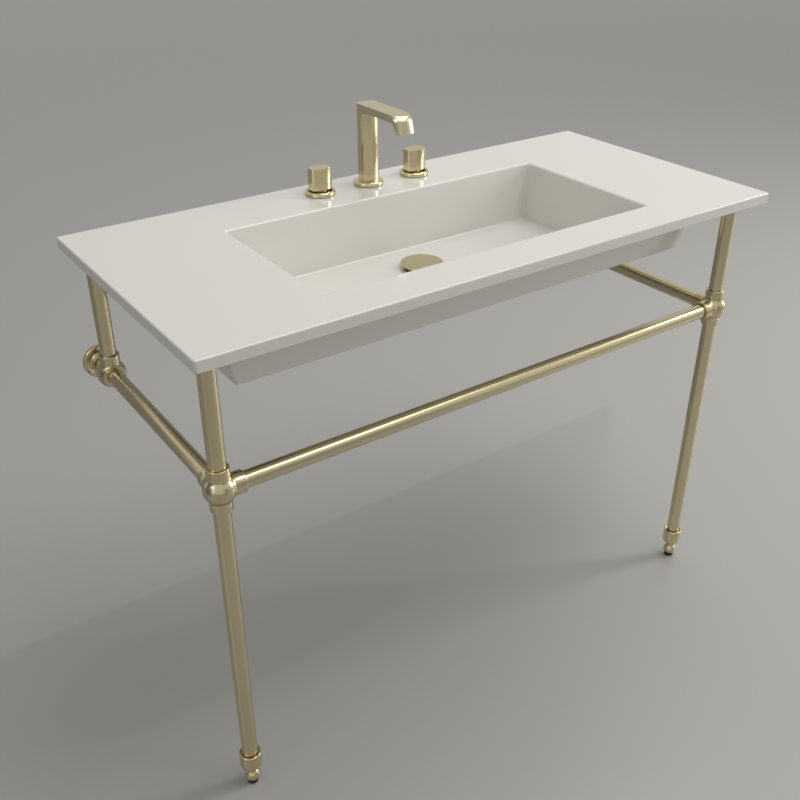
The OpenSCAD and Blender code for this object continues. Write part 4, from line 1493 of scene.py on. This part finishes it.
@dataclass
class Stand:
    """The tubular stand: joint fittings, collars, wall flanges and levelling feet."""

    finishes: Finishes
    post_x: float = 515.0
    front_y: float = -205.0
    rear_y: float = 200.0
    wall_y: float = 255.0
    rail_z: float = 600.0
    deck_under: float = 811.0
    bore_r: float = 13.1
    ball_r: float = 24.0
    fillet: float = 8.0
    voxel: float = 0.9
    cast_smooth: int = 12
    cast_angle: float = 40.0
    core_short: float = 1.0
    mouth_proud: float = 0.15
    mouth_least: float = 3.0
    mouth_edge: float = 0.8
    gap: float = 1.1
    gap_deep: float = 1.4
    slant: float = 0.2
    groove_in: float = 0.9
    groove_half: float = 0.55
    groove_flare: float = 1.6
    groove_out: float = 8.0
    socket_r: float = 16.5
    collar_r: float = 15.5
    collar_h: float = 8.0
    collar_edge: float = 0.9
    break_edge: float = 0.4
    flange_r: float = 30.0
    flange_t: float = 6.0
    flange_neck: float = 10.0
    flange_pcd: float = 46.0
    flange_edge: float = 2.6
    flange_cove: float = 2.5
    flange_floor: float = 2.0
    flange_gap: float = 1.0
    flange_clear: float = 3.0
    screw_r: float = 3.25
    screw_sink: float = 1.9
    foot_r: float = 18.0
    foot_z: float = 33.75
    foot_h: float = 36.0
    shoulder: float = 14.0
    shoulder_steps: int = 12
    socket_deep: float = 4.0
    socket_gap: float = 2.0
    socket_floor: float = 3.7
    socket_rim: float = 1.0
    neck_r: float = 8.6
    neck_edge: float = 0.5
    neck_gap: float = 0.3
    foot_ball_r: float = 12.75
    foot_ball_z: float = 16.5
    stud_r: float = 5.0
    stud_top: float = 47.75
    stud_tip: float = 1.2
    tip_bevel: float = 1.0
    thread: float = 1.5
    thread_deep: float = 0.7
    pad_r: float = 9.0
    pad_t: float = 5.0
    pad_edge: float = 0.6
    plug_r: float = 2.5
    plug_t: float = 3.5
    plug_gap: float = 0.1

    def arm_solid(self, arm: SocketArm, name: str, profile: Sequence[Flat]) -> Object:
        """Returns a solid turned around a socket arm."""
        return place(turned(name, profile, MID_STEPS), facing=arm.facing)

    def fillet_end(self, arm: SocketArm) -> float:
        """Returns how far from the ball's middle the fillet of a socket arm ends."""
        return math.sqrt((self.ball_r + self.fillet) ** 2 - (arm.radius + self.fillet) ** 2)

    def arm_core(self, arm: SocketArm) -> Object:
        """Returns the soft part of a socket arm, from the ball to near its mouth."""
        beside, above = arm.radius + self.fillet, self.fillet_end(arm)
        touch, end = math.degrees(math.atan2(above, beside)), arm.reach - self.core_short
        profile = [(0, 0)] + arc((beside, above), self.fillet, 180 + touch, 180, 10)
        return self.arm_solid(arm, "arm_core", profile + [(arm.radius, end), (0, end)])

    def mouth(self, arm: SocketArm) -> Object:
        """Returns the crisp end of a socket arm."""
        high, r, edge, proud = arm.reach, arm.radius + self.mouth_proud, self.mouth_edge, self.mouth_proud
        low = min(self.fillet_end(arm), high - self.mouth_least)
        ring = [(0, low), (r - 2 * proud, low), (r, low + 2 * proud)]
        ring += arc((r - edge, high - edge), edge, 0, 90, 4) + [(0, high)]
        return self.arm_solid(arm, "mouth", ring)

    def bore(self, arm: SocketArm) -> Object:
        """Returns the solid that bores a socket, with a dark gap at its mouth."""
        seat, high, low, r = arm.seat, arm.reach + 1, arm.reach - self.gap_deep, self.bore_r
        return self.arm_solid(arm, "bore", [
            (0, seat), (r, seat), (r, low - self.slant),
            (r + self.gap, low), (r + self.gap, high), (0, high),
        ])

    def ball_end(self, arm: SocketArm) -> Object:
        """Returns the solid that cuts the ball flat behind the mouth of a short socket."""
        cut = stepped(arm.reach - self.core_short, (arm.radius, self.ball_r + self.core_short))
        return self.arm_solid(arm, "ball_end", cut)

    def groove(self, arm: SocketArm) -> Object:
        """Returns the ring that cuts a thin groove around a socket arm."""
        at, deep, far = arm.groove, arm.radius - self.groove_in, self.ball_r + self.groove_out
        half, flare = self.groove_half, self.groove_half * self.groove_flare
        return self.arm_solid(arm, "groove", [
            (deep, at - half), (far, at - flare), (far, at + flare), (deep, at + half), (deep, at - half),
        ])

    def fitting(self, name: str, arms: Sequence[SocketArm]) -> Object:
        """Casts a ball with its sockets into one smooth body, then turns its mouths and bores.

        Args:
            name: the piece's name.
            arms: the sockets.

        Returns:
            The fitting around the origin.
        """
        deselect()
        bpy.ops.mesh.primitive_uv_sphere_add(
            segments=MID_STEPS, ring_count=MID_STEPS // 2, radius=self.ball_r * MM
        )
        ball = bpy.context.object
        body = joined(name, [ball] + [self.arm_core(arm) for arm in arms])
        applied(body, "REMESH", mode="VOXEL", voxel_size=self.voxel * MM, use_smooth_shade=True)
        applied(body, "SMOOTH", factor=0.5, iterations=self.cast_smooth)
        for arm in arms:
            if arm.reach < self.ball_r:
                combine(body, self.ball_end(arm), Meet.CUT)
        for arm in arms:
            combine(body, self.mouth(arm), Meet.JOIN)
        for arm in arms:
            combine(body, self.bore(arm), Meet.CUT)
            if arm.groove is not None:
                combine(body, self.groove(arm), Meet.CUT)
        return body

    def fittings(self) -> None:
        """Builds the four joint fittings and hands them to the frame."""
        front = self.fitting("left_front_joint", [
            SocketArm(Facing.UP, reach=36.0, radius=self.socket_r, seat=14.0),
            SocketArm(Facing.DOWN, reach=34.0, radius=self.socket_r, seat=8.0, groove=14.0),
            SocketArm(Facing.WALL, reach=36.0, radius=self.socket_r, seat=18.0),
            SocketArm(Facing.RIGHT, reach=36.0, radius=self.socket_r, seat=18.0),
        ])
        rear = self.fitting("left_rear_joint", [
            SocketArm(Facing.UP, reach=36.0, radius=self.socket_r, seat=14.0),
            SocketArm(Facing.ROOM, reach=17.5, radius=19.5, seat=4.0),
            SocketArm(Facing.WALL, reach=29.0, radius=self.socket_r, seat=14.0),
        ])
        other_front = copied(front, "right_front_joint")
        other_rear = copied(rear, "right_rear_joint")
        rows = (
            (front, Side.LEFT, self.front_y, "left_front_fitting"),
            (other_front, Side.RIGHT, self.front_y, "right_front_fitting"),
            (rear, Side.LEFT, self.rear_y, "left_rear_fitting"),
            (other_rear, Side.RIGHT, self.rear_y, "right_rear_fitting"),
        )
        for piece, side, y, node in rows:
            place(piece, (side.value * self.post_x, y, self.rail_z), mirrored=piece is other_front)
            smooth(piece, self.cast_angle)
            self.finishes.publish(piece, "sink", "satin_gold", node)

    def collars(self) -> None:
        """Builds the four collars under the deck and hands them to the frame as one piece."""
        low, high, r, bore = self.deck_under - self.collar_h, self.deck_under, self.collar_r, self.bore_r
        edge, cut, end = self.collar_edge, self.neck_edge, self.break_edge
        profile = [(bore, low + cut), (bore + cut, low)]
        profile += arc((r - edge, low + edge), edge, -90, 0, 5)
        profile += [(r, high - end), (r - end, high), (bore, high), (bore, low + cut)]
        first = turned("collar", profile)
        collars = [first] + [copied(first, f"collar_{k}") for k in range(3)]
        places = [(side.value * self.post_x, y, 0) for side in Side for y in (self.front_y, self.rear_y)]
        for collar, at in zip(collars, places):
            place(collar, at)
        whole = joined("collars_under_deck", collars)
        smooth(whole)
        self.finishes.publish(whole, "sink", "satin_gold", "post_collars")

    def wall_flange(self) -> Object:
        """Returns a wall flange whose back lies at the origin and whose neck points up."""
        r, t, neck, bore = self.flange_r, self.flange_t, self.socket_r, self.bore_r
        top, edge, cove = t + self.flange_neck, self.flange_edge, self.flange_cove
        back, lip, gap = self.break_edge, self.mouth_edge, top - self.gap_deep
        profile = [(0, 0), (r - back, 0), (r, back)]
        profile += arc((r - edge, t - edge), edge, 0, 90, 8)
        profile += arc((neck + cove, t + cove), cove, 270, 180, 6)
        profile += arc((neck - lip, top - lip), lip, 0, 90, 4)
        wide = bore + self.flange_gap
        profile += [(wide, top), (wide, gap), (bore, gap - self.slant)]
        profile += [(bore, self.flange_floor), (0, self.flange_floor)]
        flange = turned("flange", profile)
        hole, sink, over, reach = self.screw_r, self.screw_sink, self.flange_clear, self.flange_pcd / 2
        for angle in (math.radians(90 + 120 * k) for k in range(3)):
            drill(flange, [
                (0, -over), (hole, -over), (hole, t - sink),
                (hole + sink, t + SNAP), (hole + sink, t + over), (0, t + over),
            ], (reach * math.cos(angle), reach * math.sin(angle), 0), steps=HOLE_STEPS)
        return flange

    def wall_flanges(self) -> None:
        """Builds both wall flanges and hands them to the frame."""
        names = ("left_flange_turned", "right_flange_turned")
        for side, flange in both_sides(self.wall_flange(), names):
            place(flange, (side.value * self.post_x, self.wall_y, self.rail_z), Facing.ROOM)
            smooth(flange)
            node = f"{side.name.lower()}_wall_flange"
            self.finishes.publish(flange, "sink", "satin_gold", node)

    def foot_socket(self) -> Object:
        """Returns a foot socket around the origin's axis."""
        r, low, high, bore = self.foot_r, self.foot_z, self.foot_z + self.foot_h, self.bore_r
        rim, bottom, hole = self.socket_rim, self.neck_r + self.socket_rim, self.stud_r + self.plug_gap / 2
        profile = [(hole, low), (bottom, low)]
        for k in range(1, self.shoulder_steps + 1):
            turn = math.radians(90 * k / self.shoulder_steps)
            rise = self.shoulder * (1 - math.cos(turn))
            profile.append((bottom + (r - bottom) * math.sin(turn), low + rise))
        profile += arc((r - rim, high - rim), rim, 0, 90, 4)
        wide, seat = bore + self.socket_gap, high - self.socket_deep
        profile += [(wide + self.neck_gap, high), (wide, high - self.neck_gap), (wide, seat)]
        floor = low + self.shoulder + self.socket_floor
        profile += [(bore, seat), (bore, floor), (hole, floor), (hole, low)]
        return turned("foot_socket", profile)

    def foot(self) -> Object:
        """Returns a ball foot with its neck and threaded stud."""
        ball, r, stud = self.foot_ball_z, self.foot_ball_r, self.stud_r
        low = math.degrees(math.asin((self.pad_t - ball) / r))
        high = math.degrees(math.acos(self.neck_r / r))
        hole, deep = self.plug_r + self.plug_gap, self.pad_t + self.plug_t + self.neck_gap
        profile = [(0, deep), (hole, deep), (hole, self.pad_t)]
        profile += arc((0, ball), r, low, high, 20)
        top, cut = self.foot_z - self.neck_gap, self.neck_edge
        profile += [(self.neck_r, top - cut), (self.neck_r - cut, top), (stud, top)]
        for k in range(int((self.stud_top - self.thread - top) / self.thread)):
            z = top + self.break_edge + k * self.thread
            profile += [(stud, z), (stud - self.thread_deep, z + self.thread / 2)]
        tip = stud - self.tip_bevel
        profile += [(stud, self.stud_top - self.stud_tip), (tip, self.stud_top), (0, self.stud_top)]
        return turned("foot", profile)

    def pad(self) -> Object:
        """Returns a rubber pad with its plug."""
        r, t, edge, top = self.pad_r, self.pad_t, self.pad_edge, self.pad_t + self.plug_t
        profile = [(0, 0), (r - edge, 0), (r, edge), (r, t - self.break_edge), (r - self.break_edge, t)]
        profile += [(self.plug_r, t), (self.plug_r, top), (0, top)]
        return turned("pad", profile, MID_STEPS)

    def feet(self) -> None:
        """Builds sockets, ball feet and pads for both legs and hands them to the frame."""
        makers = (
            (self.foot_socket, "socket_turned", "sink", "foot_socket", "satin_gold"),
            (self.foot, "foot_turned", "foot", "foot", "satin_gold"),
            (self.pad, "pad_moulded", "pad", "foot_pad", "black_rubber"),
        )
        for make, name, body, node, slot in makers:
            for side, piece in both_sides(make(), (f"left_{name}", f"right_{name}")):
                word = side.name.lower()
                place(piece, (side.value * self.post_x, self.front_y, 0))
                smooth(piece)
                rides = body if body == "sink" else f"{word}_{body}"
                self.finishes.publish(piece, rides, slot, f"{word}_{node}")

    def build(self) -> None:
        """Builds every piece of the stand that isn't a plain tube."""
        self.fittings()
        self.collars()
        self.wall_flanges()
        self.feet()


# Studio


@dataclass
class Studio:
    """The pale floor, the soft lamps and the camera."""

    camera_at: Point = (-934.67, -1231.04, 1373.86)
    camera_turn: Point = (59.65, 0.0, -35.15)
    lens: float = 43.4
    sensor: float = 36.0
    floor_color: Color = (0.43, 0.427, 0.41, 1.0)
    floor_rough: float = 0.34
    floor_size: float = 60.0
    ambient_color: Color = (1.0, 0.99, 0.97, 1.0)
    ambient: float = 0.4
    backdrop: Color = (0.62, 0.608, 0.58, 1.0)

    def camera(self) -> None:
        """Sets the camera at the photograph's place."""
        data = bpy.data.cameras.new("camera")
        data.lens = self.lens
        data.sensor_width = self.sensor
        camera = bpy.data.objects.new("camera", data)
        camera.location = metres(self.camera_at)
        camera.rotation_euler = [math.radians(angle) for angle in self.camera_turn]
        bpy.context.scene.collection.objects.link(camera)
        bpy.context.scene.camera = camera

    def lamp(
        self, name: str, at: Point, towards: Point, size: Flat, power: float, color: Point
    ) -> None:
        """Adds a soft rectangular lamp.

        Args:
            name: the lamp's name.
            at: its place in metres.
            towards: the point that it faces, in metres.
            size: its two sides in metres.
            power: its power in watts.
            color: its colour.
        """
        data = bpy.data.lights.new(name, "AREA")
        data.shape = "RECTANGLE"
        data.size, data.size_y = size
        data.energy = power
        data.color = color
        lamp = bpy.data.objects.new(name, data)
        lamp.location = at
        lamp.rotation_euler = (Vector(towards) - Vector(at)).to_track_quat("-Z", "Y").to_euler()
        bpy.context.scene.collection.objects.link(lamp)

    def lamps(self) -> None:
        """Adds the window-like key from the right, a low fill from the left and a lamp above."""
        warm, cool, plain = (1.0, 0.98, 0.94), (0.95, 0.97, 1.0), (1.0, 1.0, 1.0)
        self.lamp("key", (3.45, -1.2, 1.8), (0.0, 0.0, 0.5), (0.9, 2.4), 58.0, warm)
        self.lamp("fill", (-3.4, -1.2, 1.5), (0.0, 0.0, 0.5), (1.0, 2.2), 3.0, cool)
        self.lamp("above", (0.9, -0.4, 3.4), (0.0, 0.0, 0.8), (3.0, 2.0), 44.0, plain)

    def floor(self) -> None:
        """Adds the pale floor, which keeps the sink's shadow."""
        surface = Surface("Studio floor")
        surface.set_inputs(Base_Color=self.floor_color, Roughness=self.floor_rough)
        deselect()
        bpy.ops.mesh.primitive_plane_add(size=self.floor_size)
        floor = named(bpy.context.object, "studio_floor")
        floor.data.materials.append(surface.material)

    def card(self, name: str, at: Point, towards: Point, size: Flat, shade: float) -> None:
        """Adds a card that only reflections see, so that metal keeps its contrast.

        Args:
            name: the card's name.
            at: its place in metres.
            towards: the point that it faces.
            size: its two sides in metres.
            shade: its grey.
        """
        material = bpy.data.materials.new(name)
        material.use_nodes = True
        tree = material.node_tree
        tree.nodes.clear()
        glow = add_node(tree, "ShaderNodeEmission", inputs={"Color": (shade, shade, shade * 0.97, 1.0)})
        output = add_node(tree, "ShaderNodeOutputMaterial")
        tree.links.new(glow.outputs[0], output.inputs["Surface"])
        deselect()
        bpy.ops.mesh.primitive_plane_add(size=1.0)
        card = named(bpy.context.object, name)
        card.scale = (size[0], size[1], 1)
        card.location = at
        card.rotation_euler = (Vector(towards) - Vector(at)).to_track_quat("Z", "Y").to_euler()
        card.data.materials.append(material)
        card.visible_camera = False
        card.visible_diffuse = False
        card.visible_shadow = False

    def cards(self) -> None:
        """Adds the dark cards around the sink and a bright one at the left, above the deck."""
        self.card("studio_card_left", (-3.2, 0.4, 0.9), (0, 0, 0.6), (2.6, 2.4), 0.12)
        self.card("studio_card_front", (0.9, -3.6, 0.9), (0, 0, 0.6), (2.2, 2.2), 0.3)
        self.card("studio_card_back", (0.0, 0.34, 0.4), (0.0, -3.0, 0.4), (1.8, 0.78), 0.2)
        self.card("studio_card_glow", (-3.3, -0.5, 2.3), (0, 0, 0.8), (0.8, 1.5), 5.0)

    def world(self) -> None:
        """Sets a soft ambient light and a pale backdrop for the camera, gloss and glass."""
        world = bpy.data.worlds.new("studio")
        bpy.context.scene.world = world
        world.use_nodes = True
        tree = world.node_tree
        tree.nodes.clear()
        path = add_node(tree, "ShaderNodeLightPath")
        seen = path.outputs["Is Camera Ray"]
        for name in ("Is Glossy Ray", "Is Transmission Ray"):
            seen = add_node(
                tree, "ShaderNodeMath", {0: seen, 1: path.outputs[name]}, operation="ADD", use_clamp=True
            ).outputs[0]
        glows = [
            add_node(tree, "ShaderNodeBackground", inputs={"Color": color, "Strength": strength})
            for color, strength in ((self.ambient_color, self.ambient), (self.backdrop, 1.0))
        ]
        shaders = {1: glows[0].outputs[0], 2: glows[1].outputs[0]}
        mix = add_node(tree, "ShaderNodeMixShader", {0: seen, **shaders})
        output = add_node(tree, "ShaderNodeOutputWorld")
        tree.links.new(mix.outputs[0], output.inputs["Surface"])

    def build(self) -> None:
        """Sets the whole studio and the plain view transform."""
        bpy.context.scene.view_settings.view_transform = "Standard"
        self.camera()
        self.lamps()
        self.floor()
        self.cards()
        self.world()


def main() -> None:
    logging.basicConfig(level=logging.INFO, format="%(name)s: %(message)s")
    finishes = Finishes()
    finishes.dress_nodes()
    for assembly in (Basin(finishes), Faucet(finishes), Drain(finishes), Stand(finishes)):
        log.info("building the %s", type(assembly).__name__.lower())
        assembly.build()
    Studio().build()
    deselect()


if __name__ == "__main__":
    main()
